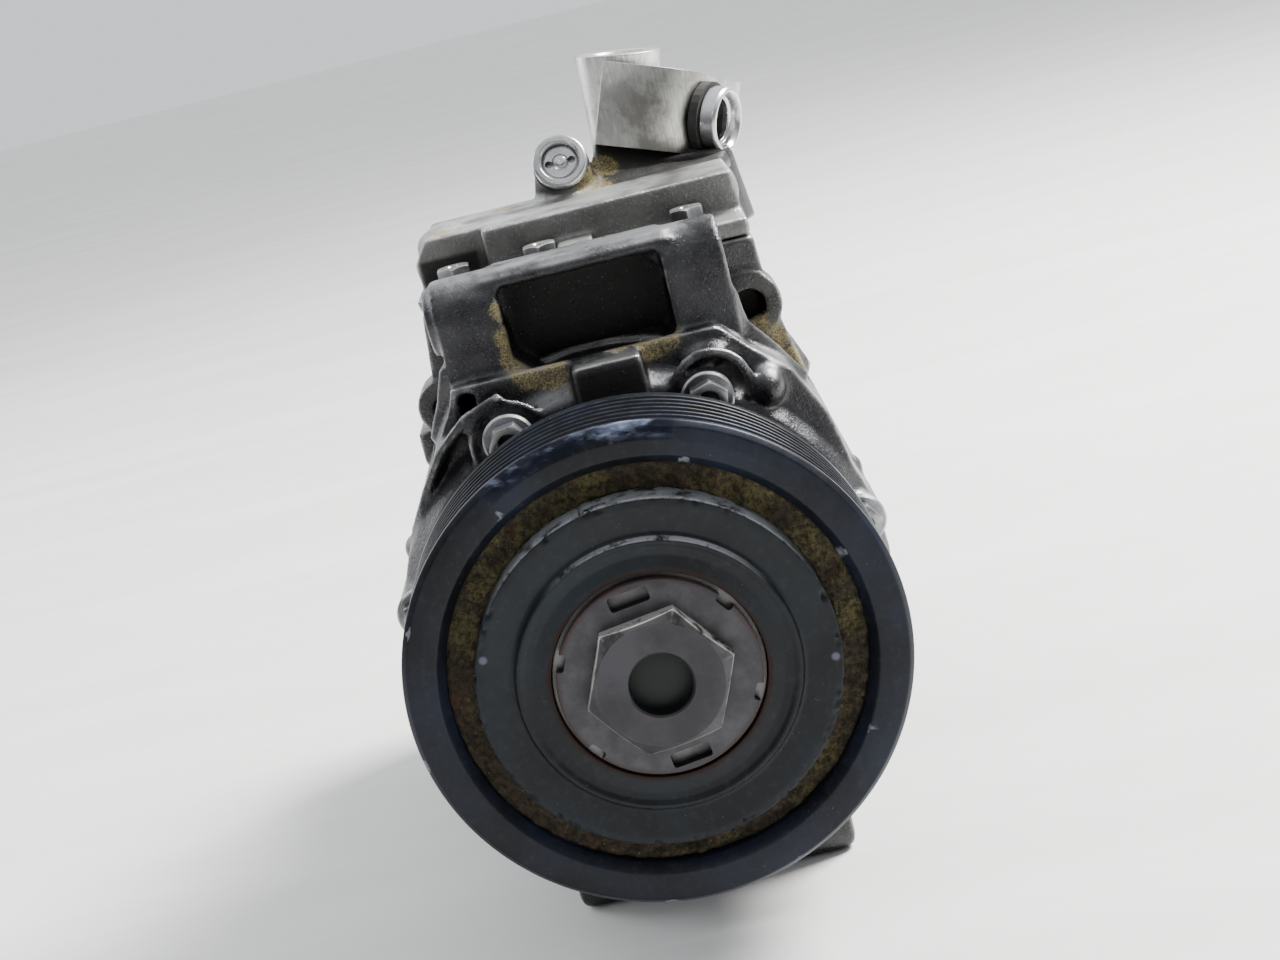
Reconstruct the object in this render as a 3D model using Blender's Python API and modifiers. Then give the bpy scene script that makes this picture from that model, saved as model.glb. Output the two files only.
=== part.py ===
"""Automotive AC compressor: seven-cylinder swash plate type with a clutchless poly-V pulley.

Metres, +Z up. The shaft runs along Y and the pulley faces -Y. Every sub-part is modelled in shaft
coordinates: the origin is the centre of the pulley's front rim, and the empty compressor_frame carries
that origin to its place above the foot of the object.
"""

from math import asin, cos, pi, radians, sin

import bmesh
import bpy
from mathutils import Matrix, Vector

# Place of the shaft coordinates: the box of the object stands on Z = 0 and is centred on X and Y.
SHAFT_HEIGHT = 0.0755
RIM_Y = -0.10225

GAP = 0.0003
CYLINDERS = 7
STEP_ANGLE = 2 * pi / CYLINDERS

# Housing stack along the shaft
BODY_R = 0.0575
CHAMBER_R = 0.0484
NOSE_R = 0.0175
NOSE_BORE_R = 0.0130
NOSE_Y = 0.0052
WALL_Y = 0.0380
CHAMBER_Y = 0.0430
SPLIT_Y = 0.0720
BORES_Y = 0.1020
BLOCK_END_Y = 0.1580
REED_THICK = 0.0005
VALVE_PLATE_THICK = 0.0030
REED_Y = BLOCK_END_Y + GAP
VALVE_PLATE_Y = REED_Y + REED_THICK + GAP
REAR_Y = VALVE_PLATE_Y + VALVE_PLATE_THICK + GAP
REAR_CHAMBER_Y = REAR_Y + 0.0200
REAR_END_Y = 0.2040

# Through bolts
BOLT_CIRCLE_R = 0.0525
BOLT_PHASE = STEP_ANGLE / 2 + radians(1.5)
BOLT_BOSS_R = 0.0060
BOLT_R = 0.0029
BOLT_HOLE_R = 0.0033
BOLT_END_Y = 0.1760

# Pulley and hub
RIM_R = 0.0550
RIM_WIDTH = 0.0265
GROOVES = 6
GROOVE_PITCH = 0.00356
GROOVE_DEPTH = 0.0027
GROOVE_START = 0.0019
RIM_FACE_R = 0.0473
RECESS_R = 0.0454
WEB_Y = 0.0120
WEB_THICK = 0.0050
BEARING_SEAT_R = 0.0278
BALLS = 8
DAMPER_R = 0.0393
DAMPER_BORE_R = 0.0230
LIMITER_R = 0.0220
LIMITER_Y = -0.0042
HEX_ACROSS_CORNERS = 0.0330
HEX_FACE_Y = -0.0085
HEX_PHASE = radians(22)
HUB_BORE_R = 0.0069

# Shaft and swash plate
SHAFT_R = 0.0080
SHAFT_TIP_R = 0.0065
SHAFT_TIP_Y = -0.0050
SHAFT_END_Y = 0.1300
PISTON_CIRCLE_R = 0.0345
BORE_R = 0.0137
PISTON_R = 0.0130
NECK_R = 0.0093
PISTON_END_Y = 0.1565
SKIRT_Y = 0.1120
SWASH_Y = 0.0860
SWASH_R = 0.0425
SWASH_HALF = 0.0045
SHOE_BALL_R = 0.0095
SLOT_HALF = 0.0077

# Top bracket, lower lugs and upper deck
BRACKET_Y = 0.0570
BRACKET_Z = 0.0745
BRACKET_R = 0.0095
BRACKET_LEFT = -0.0322
BUSH_LEFT = -0.0345
BUSH_R = 0.0078
BRACKET_RIGHT = 0.0355
WINDOW_LEFT = -0.0170
WINDOW_RIGHT = 0.0210
WINDOW_FLOOR = 0.0610
MOUNT_BOLT_R = 0.0052
LUG_HALF = 0.0350
LUG_CENTRE_Z = -0.0665
LUG_HALF_HEIGHT = 0.0090
REAR_LUG_Y = 0.1400
DECK_Z = 0.0740
DECK_LEFT = -0.0375
DECK_RIGHT = 0.0440
DECK_Y = 0.0745
DECK_END_Y = 0.1530
COVER_TOP_Z = 0.0885
COVER_END_Y = 0.1270
LEDGE_Z = 0.0785
LEFT_LEDGE_Z = 0.0772

EARS = ((0.0395, 0.0575, 0.0082), (-0.0375, 0.0510, 0.0070))
COVER_BOLTS = (
    (-0.0285, 0.0880, LEFT_LEDGE_Z),
    (-0.0065, 0.0820, LEDGE_Z),
    (0.0300, 0.0830, LEDGE_Z),
)

# Port block: its own frame, turned about the shaft direction and leaning back
PORT_CENTRE = Vector((0.0325, 0.1380, 0.1010))
PORT_TURN = radians(19.5)
PORT_LEAN = radians(-7)
PORT_LEFT = -0.0184
PORT_RIGHT = 0.0205
PORT_HALF_HEIGHT = 0.0107
PORT_FRONT = -0.0130
PORT_BACK = 0.0173
PORT_CORNER = 0.0030
PORT_SEAT = Vector((0.0097, -0.0014, -0.0008))
PORT_AXIS = Vector((sin(radians(60)), -cos(radians(60)), 0))

TOWER_FOOT = Vector((0.0200, 0.1410, 0.0950))
TOWER_TOP = Vector((0.0234, 0.1410, 0.1190))

# Relief valve
RELIEF_TIP = Vector((0.0025, 0.1120, 0.0982))
RELIEF_AXIS = Vector((0, -cos(radians(28)), sin(radians(28))))
RELIEF_R = 0.0070


def clear_scene():
    for old in list(bpy.data.objects):
        bpy.data.objects.remove(old, do_unlink=True)


def make_collection(name, hidden=False):
    collection = bpy.data.collections.new(name)
    collection.hide_render = hidden
    bpy.context.scene.collection.children.link(collection)
    return collection


def make_empty(name, location, parent=None, rotation=(0, 0, 0)):
    empty = bpy.data.objects.new(name, None)
    empty.location = location
    empty.rotation_euler = rotation
    empty.parent = parent
    PARTS.objects.link(empty)
    return empty


def make_material(name, colour, roughness, metallic):
    material = bpy.data.materials.new(name)
    material.use_nodes = True
    shader = material.node_tree.nodes["Principled BSDF"]
    shader.inputs["Base Color"].default_value = (*colour, 1)
    shader.inputs["Roughness"].default_value = roughness
    shader.inputs["Metallic"].default_value = metallic
    return material


# ---- solids ----


def place(name, mesh, parent, material=None):
    """A sub-part when it has a material, and otherwise a hidden tool for a Boolean."""
    item = bpy.data.objects.new(name, mesh)
    item.parent = parent
    if material:
        PARTS.objects.link(item)
        mesh.materials.append(material)
    else:
        TOOLS.objects.link(item)
        item.hide_render = True
        item.display_type = "WIRE"
    return item


def mesh_from(name, form):
    mesh = bpy.data.meshes.new(name)
    form.normal_update()
    form.to_mesh(mesh)
    form.free()
    return mesh


def shade(item, angle=35):
    item.data.shade_smooth()
    item.data.set_sharp_from_angle(angle=radians(angle))
    return item


def add_rod(form, start, end, radius, end_radius=None, segments=24):
    """A closed cylinder or cone between two points."""
    start, end = Vector(start), Vector(end)
    direction = end - start
    turn = Vector((0, 0, 1)).rotation_difference(direction).to_matrix().to_4x4()
    bmesh.ops.create_cone(
        form,
        cap_ends=True,
        segments=segments,
        radius1=radius,
        radius2=radius if end_radius is None else end_radius,
        depth=direction.length,
        matrix=Matrix.Translation((start + end) / 2) @ turn,
    )


def add_box(form, low, high):
    low, high = Vector(low), Vector(high)
    size = Matrix.Diagonal((*(high - low), 1))
    bmesh.ops.create_cube(form, size=1, matrix=Matrix.Translation((low + high) / 2) @ size)


def add_around(form, radius, y_start, y_end, circle_r, phase=0.0, segments=12, count=CYLINDERS):
    """Equal rods along the shaft, spread round a circle."""
    for index in range(count):
        angle = phase + 2 * pi * index / count
        x, z = circle_r * sin(angle), circle_r * cos(angle)
        add_rod(form, (x, y_start, z), (x, y_end, z), radius, segments=segments)


def tool(name, build, parent=None):
    form = bmesh.new()
    build(form)
    return place(name, mesh_from(name, form), parent or FRAME)


def part(name, build, material, parent=None, angle=35):
    form = bmesh.new()
    build(form)
    return shade(place(name, mesh_from(name, form), parent or FRAME, material), angle)


def turned(name, profile, material=None, parent=None, steps=36):
    """A profile of (radius, y) turned round the shaft: down its outer side from back to front."""
    form = bmesh.new()
    points = [form.verts.new((radius, y, 0)) for radius, y in profile]
    pairs = list(zip(points, points[1:]))
    if profile[0][0] > 0:
        pairs.append((points[-1], points[0]))
    for first, second in pairs:
        form.edges.new((first, second))
    item = place(name, mesh_from(name, form), parent or FRAME, material)
    screw = item.modifiers.new("Turn", "SCREW")
    screw.axis = "Y"
    screw.steps = steps
    screw.render_steps = steps
    screw.use_merge_vertices = True
    screw.merge_threshold = 0.00001
    screw.use_smooth_shade = True
    return item


def outline(name, points, y_start, y_end, material=None, parent=None):
    """A flat outline of (x, z) points, filled and extruded along the shaft."""
    curve = bpy.data.curves.new(name, "CURVE")
    curve.dimensions = "2D"
    curve.fill_mode = "BOTH"
    curve.extrude = (y_end - y_start) / 2
    spline = curve.splines.new("POLY")
    spline.points.add(len(points) - 1)
    for point, (x, z) in zip(spline.points, points):
        point.co = (x, z, 0, 1)
    spline.use_cyclic_u = True
    sketch = bpy.data.objects.new(name + "_outline", curve)
    bpy.context.scene.collection.objects.link(sketch)
    mesh = bpy.data.meshes.new_from_object(sketch)
    bpy.data.objects.remove(sketch, do_unlink=True)
    form = bmesh.new()
    form.from_mesh(mesh)
    bmesh.ops.remove_doubles(form, verts=form.verts, dist=0.00001)
    stand = Matrix.Translation((0, (y_start + y_end) / 2, 0)) @ Matrix.Rotation(pi / 2, 4, "X")
    bmesh.ops.transform(form, matrix=stand, verts=form.verts)
    bmesh.ops.recalc_face_normals(form, faces=form.faces)
    return place(name, mesh_from(name, form), parent or FRAME, material)


def combine(item, other, operation):
    change = item.modifiers.new(operation.title(), "BOOLEAN")
    change.operation = operation
    change.solver = "EXACT"
    change.object = other


def join(item, *others):
    for other in others:
        combine(item, other, "UNION")


def cut(item, *others):
    for other in others:
        combine(item, other, "DIFFERENCE")


def soften(item, width, segments=1, angle=40):
    bevel = item.modifiers.new("Bevel", "BEVEL")
    bevel.width = width
    bevel.segments = segments
    bevel.limit_method = "ANGLE"
    bevel.angle_limit = radians(angle)
    return item


# ---- pulley and hub ----


def make_pulley_rim():
    profile = [(RIM_R, RIM_WIDTH)]
    for index in reversed(range(GROOVES)):
        front = GROOVE_START + index * GROOVE_PITCH
        profile.append((RIM_R, front + 0.86 * GROOVE_PITCH))
        profile.append((RIM_R - GROOVE_DEPTH, front + 0.5 * GROOVE_PITCH))
        profile.append((RIM_R, front + 0.14 * GROOVE_PITCH))
    seat_r = BEARING_SEAT_R + 0.0032
    profile += [
        (RIM_R, 0.0),
        (RIM_FACE_R, 0.0),
        (RECESS_R, 0.0020),
        (RECESS_R, WEB_Y),
        (seat_r, WEB_Y),
        (seat_r, 0.0065),
        (BEARING_SEAT_R, 0.0065),
        (BEARING_SEAT_R, 0.0250),
        (seat_r, 0.0250),
        (seat_r, WEB_Y + WEB_THICK),
        (0.0485, WEB_Y + WEB_THICK),
        (0.0485, RIM_WIDTH),
    ]
    return turned("pulley_rim", profile, BLACK_PAINT, DRIVE, steps=42)


def make_damper_ring():
    profile = [
        (DAMPER_R, 0.0080),
        (DAMPER_R, -0.0022),
        (DAMPER_R - 0.0006, -0.0028),
        (0.0312, -0.0018),
        (0.0302, -0.0034),
        (0.0295, -0.0034),
        (0.0268, -0.0027),
        (DAMPER_BORE_R, -0.0032),
        (DAMPER_BORE_R, 0.0045),
        (0.0316, 0.0055),
        (0.0322, 0.0080),
    ]
    return turned("damper_ring", profile, BLACK_MOULDING, DRIVE, steps=36)


def make_damper_rubber():
    front, back = 0.0080 + GAP, WEB_Y - GAP
    profile = [(0.0385, back), (0.0385, front), (0.0320, front), (0.0320, back)]
    return turned("damper_rubber", profile, RUBBER, DRIVE)


def make_limiter_plate():
    back = LIMITER_Y + 0.0020
    bore = 0.0125
    profile = [(LIMITER_R, back), (LIMITER_R, LIMITER_Y), (bore, LIMITER_Y), (bore, back)]
    plate = turned("limiter_plate", profile, HUB_STEEL, DRIVE, steps=42)

    def slots(form):
        for index in range(6):
            wide = index % 3 == 0
            half, depth, centre = (0.0045, 0.0035, 0.0188) if wide else (0.0030, 0.0030, 0.0215)
            low = (-half, LIMITER_Y - 0.0010, centre - depth / 2)
            high = (half, back + 0.0010, centre + depth / 2)
            before = set(form.verts)
            add_box(form, low, high)
            made = [vert for vert in form.verts if vert not in before]
            turn = Matrix.Rotation(radians(-7.5) + index * pi / 3, 4, "Y")
            bmesh.ops.transform(form, matrix=turn, verts=made)

    cut(plate, tool("limiter_slots", slots, DRIVE))
    return plate


def make_hub_nut():
    hex_back = LIMITER_Y - GAP

    def solid(form):
        across = HEX_ACROSS_CORNERS / 2
        add_rod(form, (0, HEX_FACE_Y, 0), (0, hex_back, 0), across, segments=6)
        bmesh.ops.rotate(form, cent=(0, 0, 0), matrix=Matrix.Rotation(HEX_PHASE, 3, "Y"), verts=form.verts)

    nut = part("hub_nut", solid, HUB_STEEL, DRIVE)
    across_flats = HEX_ACROSS_CORNERS * cos(radians(30))
    rim = [
        (0.0, hex_back + 0.0005),
        (0.0200, hex_back + 0.0005),
        (0.0200, HEX_FACE_Y + 0.0024),
        (across_flats / 2 - 0.0004, HEX_FACE_Y),
        (0.0, HEX_FACE_Y),
    ]
    combine(nut, turned("nut_chamfer", rim, parent=DRIVE), "INTERSECT")
    sleeve = [
        (0.0, NOSE_Y - 0.0010),
        (0.0120, NOSE_Y - 0.0010),
        (0.0120, hex_back - 0.0010),
        (0.0, hex_back - 0.0010),
    ]
    join(nut, turned("nut_sleeve", sleeve, parent=DRIVE, steps=24))

    def bore(form):
        add_rod(form, (0, HEX_FACE_Y - 0.0010, 0), (0, NOSE_Y, 0), HUB_BORE_R, segments=24)

    cut(nut, tool("nut_bore", bore, DRIVE))
    return nut


def make_pulley_bearing():
    front, back = 0.0080, 0.0235
    outer = [(0.0275, back), (0.0275, front), (0.0250, front), (0.0250, back)]
    turned("bearing_outer_ring", outer, BEARING_STEEL, DRIVE)
    inner_bore = NOSE_R + GAP
    inner = [(0.0200, back), (0.0200, front), (inner_bore, front), (inner_bore, back)]
    turned("bearing_inner_ring", inner, BEARING_STEEL)
    clip = [(0.0205, 0.0077), (0.0205, 0.0066), (inner_bore, 0.0066), (inner_bore, 0.0077)]
    turned("bearing_circlip", clip, BEARING_STEEL)

    def cage(form):
        for index in range(BALLS):
            angle = 2 * pi * index / BALLS
            centre = Matrix.Translation((0.0225 * sin(angle), 0.0158, 0.0225 * cos(angle)))
            bmesh.ops.create_icosphere(form, subdivisions=1, radius=0.0021, matrix=centre)

    ring = [(0.0232, 0.0195), (0.0232, 0.0121), (0.0218, 0.0121), (0.0218, 0.0195)]
    cage_ring = turned("ball_cage", ring, BRASS, CAGE, steps=30)
    join(cage_ring, tool("cage_balls", cage, CAGE))


# ---- housings ----


def drill_bolts(item, y_start, y_end):
    def holes(form):
        add_around(form, BOLT_HOLE_R, y_start, y_end, BOLT_CIRCLE_R, BOLT_PHASE, segments=10)

    cut(item, tool(item.name + "_bolt_holes", holes))


def add_bolt_bosses(item, y_start, y_end):
    def bosses(form):
        add_around(form, BOLT_BOSS_R, y_start, y_end, BOLT_CIRCLE_R, BOLT_PHASE, segments=12)

    join(item, tool(item.name + "_bosses", bosses))


def add_lower_lug(item, y_centre):
    """A transverse lug with a flat foot, a web up to the round body and a bolt bore across."""
    bottom = LUG_CENTRE_Z - LUG_HALF_HEIGHT
    top = LUG_CENTRE_Z + LUG_HALF_HEIGHT
    half_depth = 0.0090

    def lug(form):
        add_box(form, (-LUG_HALF, y_centre - half_depth, bottom), (LUG_HALF, y_centre + half_depth, top))

    block = soften(tool(item.name + "_lug", lug), 0.0025, 2)

    def webs(form):
        for left, right in ((-0.0290, -0.0150), (0.0150, 0.0290)):
            add_box(form, (left, y_centre - 0.0060, top - 0.0040), (right, y_centre + 0.0060, -0.0480))

    def bore(form):
        end = Vector((LUG_HALF + 0.0010, 0, 0))
        centre = Vector((0, y_centre, LUG_CENTRE_Z))
        add_rod(form, centre - end, centre + end, MOUNT_BOLT_R, segments=16)

    join(item, block, tool(item.name + "_webs", webs))
    return tool(item.name + "_lug_bore", bore)


def make_front_housing():
    profile = [
        (BODY_R, SPLIT_Y),
        (BODY_R, 0.0440),
        (0.0535, WALL_Y),
        (0.0458, WALL_Y),
        (0.0320, 0.0325),
        (NOSE_R, 0.0305),
        (NOSE_R, NOSE_Y),
        (NOSE_BORE_R, NOSE_Y),
        (NOSE_BORE_R, 0.0395),
        (0.0100, 0.0395),
        (0.0100, CHAMBER_Y),
        (0.0465, CHAMBER_Y),
        (CHAMBER_R, 0.0455),
        (CHAMBER_R, SPLIT_Y),
    ]
    housing = turned("front_housing", profile, CAST_ALUMINIUM, steps=42)
    shoulders = [
        (-0.0470, 0.0325),
        (-0.0395, 0.0475),
        (-0.0335, 0.0570),
        (BRACKET_LEFT, WINDOW_FLOOR),
        (0.0300, WINDOW_FLOOR),
        (BRACKET_RIGHT, 0.0550),
        (0.0440, 0.0475),
        (0.0505, 0.0345),
        (0.0535, 0.0200),
        (0.0450, 0.0220),
        (0.0300, 0.0440),
        (0.0150, 0.0490),
        (0.0, 0.0510),
        (-0.0150, 0.0490),
        (-0.0300, 0.0440),
        (-0.0410, 0.0320),
    ]
    join(housing, outline("front_shoulders", shoulders, 0.0430, SPLIT_Y))

    def columns(form):
        low, high = BRACKET_Y - BRACKET_R, BRACKET_Y + BRACKET_R
        for left, right in ((BRACKET_LEFT, WINDOW_LEFT), (WINDOW_RIGHT, BRACKET_RIGHT)):
            add_box(form, (left, low, WINDOW_FLOOR - 0.0100), (right, high, BRACKET_Z))

    def tubes(form):
        for left, right in ((BRACKET_LEFT, WINDOW_LEFT), (WINDOW_RIGHT, BRACKET_RIGHT)):
            add_rod(form, (left, BRACKET_Y, BRACKET_Z), (right, BRACKET_Y, BRACKET_Z), BRACKET_R)

    def bush(form):
        start = (BUSH_LEFT, BRACKET_Y, BRACKET_Z)
        add_rod(form, start, (BRACKET_LEFT + 0.0050, BRACKET_Y, BRACKET_Z), BUSH_R, segments=20)

    def pocket(form):
        low = (WINDOW_LEFT, BRACKET_Y - BRACKET_R - 0.0008, 0.0525)
        add_box(form, low, (WINDOW_RIGHT, SPLIT_Y + 0.0010, BRACKET_Z))

    def bar(form):
        top = BRACKET_Z + BRACKET_R
        low = (WINDOW_LEFT - 0.0020, BRACKET_Y - 0.0050, top - 0.0038)
        add_box(form, low, (WINDOW_RIGHT + 0.0020, BRACKET_Y + 0.0060, top - 0.0003))

    def pad(form):
        add_box(form, (-0.0045, 0.0362, 0.0480), (0.0118, 0.0450, 0.0600))

    join(housing, tool("bracket_columns", columns), tool("bracket_tubes", tubes))
    join(housing, tool("bracket_bar", bar), tool("bracket_bush", bush), tool("front_pad", pad))
    cut(housing, tool("window_pocket", pocket))
    add_bolt_bosses(housing, WALL_Y, SPLIT_Y)
    lug_bore = add_lower_lug(housing, BRACKET_Y)

    def bolt_bore(form):
        left = (BUSH_LEFT - 0.0010, BRACKET_Y, BRACKET_Z)
        right = (BRACKET_RIGHT + 0.0010, BRACKET_Y, BRACKET_Z)
        add_rod(form, left, right, MOUNT_BOLT_R, segments=16)

    cut(housing, tool("bracket_bore", bolt_bore), lug_bore)
    drill_bolts(housing, WALL_Y - 0.0020, SPLIT_Y + 0.0020)
    return housing


def make_cylinder_block():
    front = SPLIT_Y + GAP
    profile = [
        (BODY_R, BLOCK_END_Y),
        (BODY_R, front),
        (CHAMBER_R, front),
        (CHAMBER_R, BORES_Y),
        (0.0090, BORES_Y),
        (0.0090, 0.1180),
        (0.0120, 0.1180),
        (0.0120, 0.1340),
        (0.0050, 0.1340),
        (0.0050, BLOCK_END_Y),
    ]
    block = turned("cylinder_block", profile, CAST_ALUMINIUM, steps=42)
    deck = [
        (-0.0470, 0.0325),
        (-0.0400, 0.0500),
        (DECK_LEFT, DECK_Z),
        (DECK_RIGHT, DECK_Z),
        (0.0450, 0.0590),
        (0.0490, 0.0400),
        (0.0535, 0.0200),
        (0.0450, 0.0240),
        (0.0300, 0.0430),
        (0.0, 0.0530),
        (-0.0300, 0.0430),
        (-0.0410, 0.0320),
    ]
    join(block, outline("block_deck", deck, DECK_Y, DECK_END_Y))

    def ears(form):
        for x, z, radius in EARS:
            add_rod(form, (x, SPLIT_Y + 0.0015, z), (x, 0.0860, z), radius, segments=18)

    def side_lug(form):
        add_box(form, (-0.0465, 0.0780, 0.0370), (-0.0380, 0.0920, 0.0450))

    join(block, tool("block_ears", ears), tool("block_side_lug", side_lug))

    def neck(form):
        add_box(form, (-0.0135, -0.0060, -0.0360), (0.0170, 0.0140, -PORT_HALF_HEIGHT - GAP))

    join(block, soften(tool("port_neck", neck, PORT), 0.0060, 2))
    add_bolt_bosses(block, front, BLOCK_END_Y)
    lug_bore = add_lower_lug(block, REAR_LUG_Y)

    def bores(form):
        add_around(form, BORE_R, BORES_Y - 0.0010, BLOCK_END_Y + 0.0010, PISTON_CIRCLE_R, segments=20)

    def chamber(form):
        add_box(form, (-0.0180, 0.0900, 0.0610), (0.0340, 0.1180, DECK_Z + 0.0010))

    def ear_holes(form):
        for x, z, radius in EARS:
            add_rod(form, (x, SPLIT_Y, z), (x, 0.0840, z), radius - 0.0042, segments=14)

    cut(block, tool("cylinder_bores", bores), tool("muffler_chamber", chamber))
    cut(block, tool("ear_holes", ear_holes), lug_bore)
    drill_bolts(block, front - 0.0010, BLOCK_END_Y + 0.0010)
    return block


def make_rear_housing():
    profile = [
        (0.0, REAR_END_Y),
        (0.0500, REAR_END_Y),
        (BODY_R, REAR_END_Y - 0.0070),
        (BODY_R, REAR_Y),
        (CHAMBER_R, REAR_Y),
        (CHAMBER_R, REAR_CHAMBER_Y),
        (0.0240, REAR_CHAMBER_Y),
        (0.0240, REAR_Y),
        (0.0190, REAR_Y),
        (0.0190, REAR_CHAMBER_Y),
        (0.0, REAR_CHAMBER_Y),
    ]
    housing = turned("rear_housing", profile, CAST_ALUMINIUM, steps=42)
    add_bolt_bosses(housing, REAR_Y, 0.1880)

    def valve_bore(form):
        add_rod(form, (0, REAR_CHAMBER_Y + 0.0060, -0.0300), (0, REAR_END_Y + 0.0010, -0.0300), 0.0090)

    cut(housing, tool("valve_bore", valve_bore))
    drill_bolts(housing, REAR_Y - 0.0010, BOLT_END_Y + 0.0030)
    return housing


def make_valve_plate():
    plates = (
        ("reed_plate", REED_Y, REED_THICK, SPRING_STEEL, 0.0055, (0.0355,)),
        ("valve_plate", VALVE_PLATE_Y, VALVE_PLATE_THICK, HUB_STEEL, 0.0035, (0.0295, 0.0430)),
    )
    for name, front, thickness, material, port_r, circles in plates:
        back = front + thickness

        def disc(form, front=front, back=back):
            add_rod(form, (0, front, 0), (0, back, 0), BODY_R + 0.0005, segments=42)

        def ports(form, front=front, back=back, port_r=port_r, circles=circles):
            for circle_r in circles:
                add_around(form, port_r, front - 0.0010, back + 0.0010, circle_r, segments=8)

        plate = part(name, disc, material)
        cut(plate, tool(name + "_ports", ports))
        drill_bolts(plate, front - 0.0010, back + 0.0010)


def make_through_bolt(number):
    angle = BOLT_PHASE + number * STEP_ANGLE
    x, z = BOLT_CIRCLE_R * sin(angle), BOLT_CIRCLE_R * cos(angle)
    seat = WALL_Y - GAP
    washer, face = seat - 0.0016, seat - 0.0056

    def flange(form):
        add_rod(form, (x, washer, z), (x, seat, z), 0.0062, segments=18)

    def head(form):
        add_rod(form, (x, face, z), (x, seat - 0.0008, z), 0.0050, segments=6)

    def shank(form):
        add_rod(form, (x, seat - 0.0008, z), (x, BOLT_END_Y, z), BOLT_R, segments=8)

    def recess(form):
        add_rod(form, (x, face - 0.0010, z), (x, face + 0.0028, z), 0.0030, segments=12)

    bolt = part(f"through_bolt_{number + 1}", flange, BOLT_STEEL)
    join(bolt, tool(bolt.name + "_head", head), tool(bolt.name + "_shank", shank))
    cut(bolt, tool(bolt.name + "_recess", recess))


def make_top_cover():
    """Lid of the muffler chamber: ledges for bolts in front, a raised back and the relief valve's pillar."""
    bottom = DECK_Z + GAP
    section = [
        (DECK_LEFT, bottom),
        (DECK_LEFT - 0.0010, COVER_TOP_Z - 0.0060),
        (DECK_LEFT + 0.0030, COVER_TOP_Z),
        (DECK_RIGHT - 0.0010, COVER_TOP_Z),
        (DECK_RIGHT, bottom),
    ]
    cover = outline("top_cover", section, DECK_Y, COVER_END_Y, COVER_ALUMINIUM)

    def left_ledge(form):
        high = (-0.0200, 0.0960, COVER_TOP_Z + 0.0010)
        add_box(form, (DECK_LEFT - 0.0020, DECK_Y - 0.0010, LEFT_LEDGE_Z), high)

    def front_ledge(form):
        high = (DECK_RIGHT + 0.0010, 0.0885, COVER_TOP_Z + 0.0010)
        add_box(form, (-0.0210, DECK_Y - 0.0010, LEDGE_Z), high)

    def pillar(form):
        foot = RELIEF_TIP - RELIEF_AXIS * 0.0100
        add_rod(form, foot + Vector((-0.0030, 0.0010, -0.0140)), foot, 0.0076)

    def socket(form):
        add_rod(form, RELIEF_TIP - RELIEF_AXIS * 0.0140, RELIEF_TIP - RELIEF_AXIS * 0.0032, 0.0074)

    cut(cover, tool("cover_left_ledge", left_ledge), tool("cover_front_ledge", front_ledge))
    join(cover, tool("relief_pillar", pillar), tool("relief_socket", socket))

    def seat(form):
        add_rod(form, RELIEF_TIP - RELIEF_AXIS * 0.0110, RELIEF_TIP, 0.0053, segments=20)

    def holes(form):
        for x, y, top in COVER_BOLTS:
            add_rod(form, (x, y, bottom - 0.0010), (x, y, top + 0.0010), 0.0030, segments=12)

    cut(cover, tool("relief_seat", seat), tool("cover_holes", holes))
    return cover


def make_cover_bolt(number):
    x, y, ledge = COVER_BOLTS[number]
    seat = ledge + GAP

    def flange(form):
        add_rod(form, (x, y, seat), (x, y, seat + 0.0012), 0.0050, segments=14)

    def head(form):
        add_rod(form, (x, y, seat + 0.0006), (x, y, seat + 0.0042), 0.0044, segments=6)

    def shank(form):
        add_rod(form, (x, y, DECK_Z + 2 * GAP), (x, y, seat + 0.0006), 0.0025, segments=10)

    bolt = part(f"cover_bolt_{number + 1}", flange, BOLT_STEEL)
    join(bolt, tool(bolt.name + "_head", head), tool(bolt.name + "_shank", shank))


def make_relief_valve():
    tip, axis = RELIEF_TIP, RELIEF_AXIS

    def body(form):
        add_rod(form, tip - axis * 0.0028, tip, RELIEF_R, segments=28)

    def stem(form):
        add_rod(form, tip - axis * 0.0100, tip - axis * 0.0015, 0.0049, segments=20)

    def recess(form):
        add_rod(form, tip - axis * 0.0040, tip + axis * 0.0010, 0.0046, segments=24)

    valve = part("relief_valve", body, BRIGHT_STEEL)
    join(valve, tool("relief_stem", stem))
    cut(valve, tool("relief_recess", recess))

    def insert(form):
        add_rod(form, tip - axis * 0.0036, tip - axis * 0.0018, 0.0042, segments=24)

    def insert_holes(form):
        side = Vector((0.0025, 0, 0))
        for offset in (-side, side):
            add_rod(form, tip - axis * 0.0050 + offset, tip + axis * 0.0010 + offset, 0.0008, segments=10)

    disc = part("relief_valve_insert", insert, BRIGHT_STEEL)
    cut(disc, tool("relief_insert_holes", insert_holes))


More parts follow.
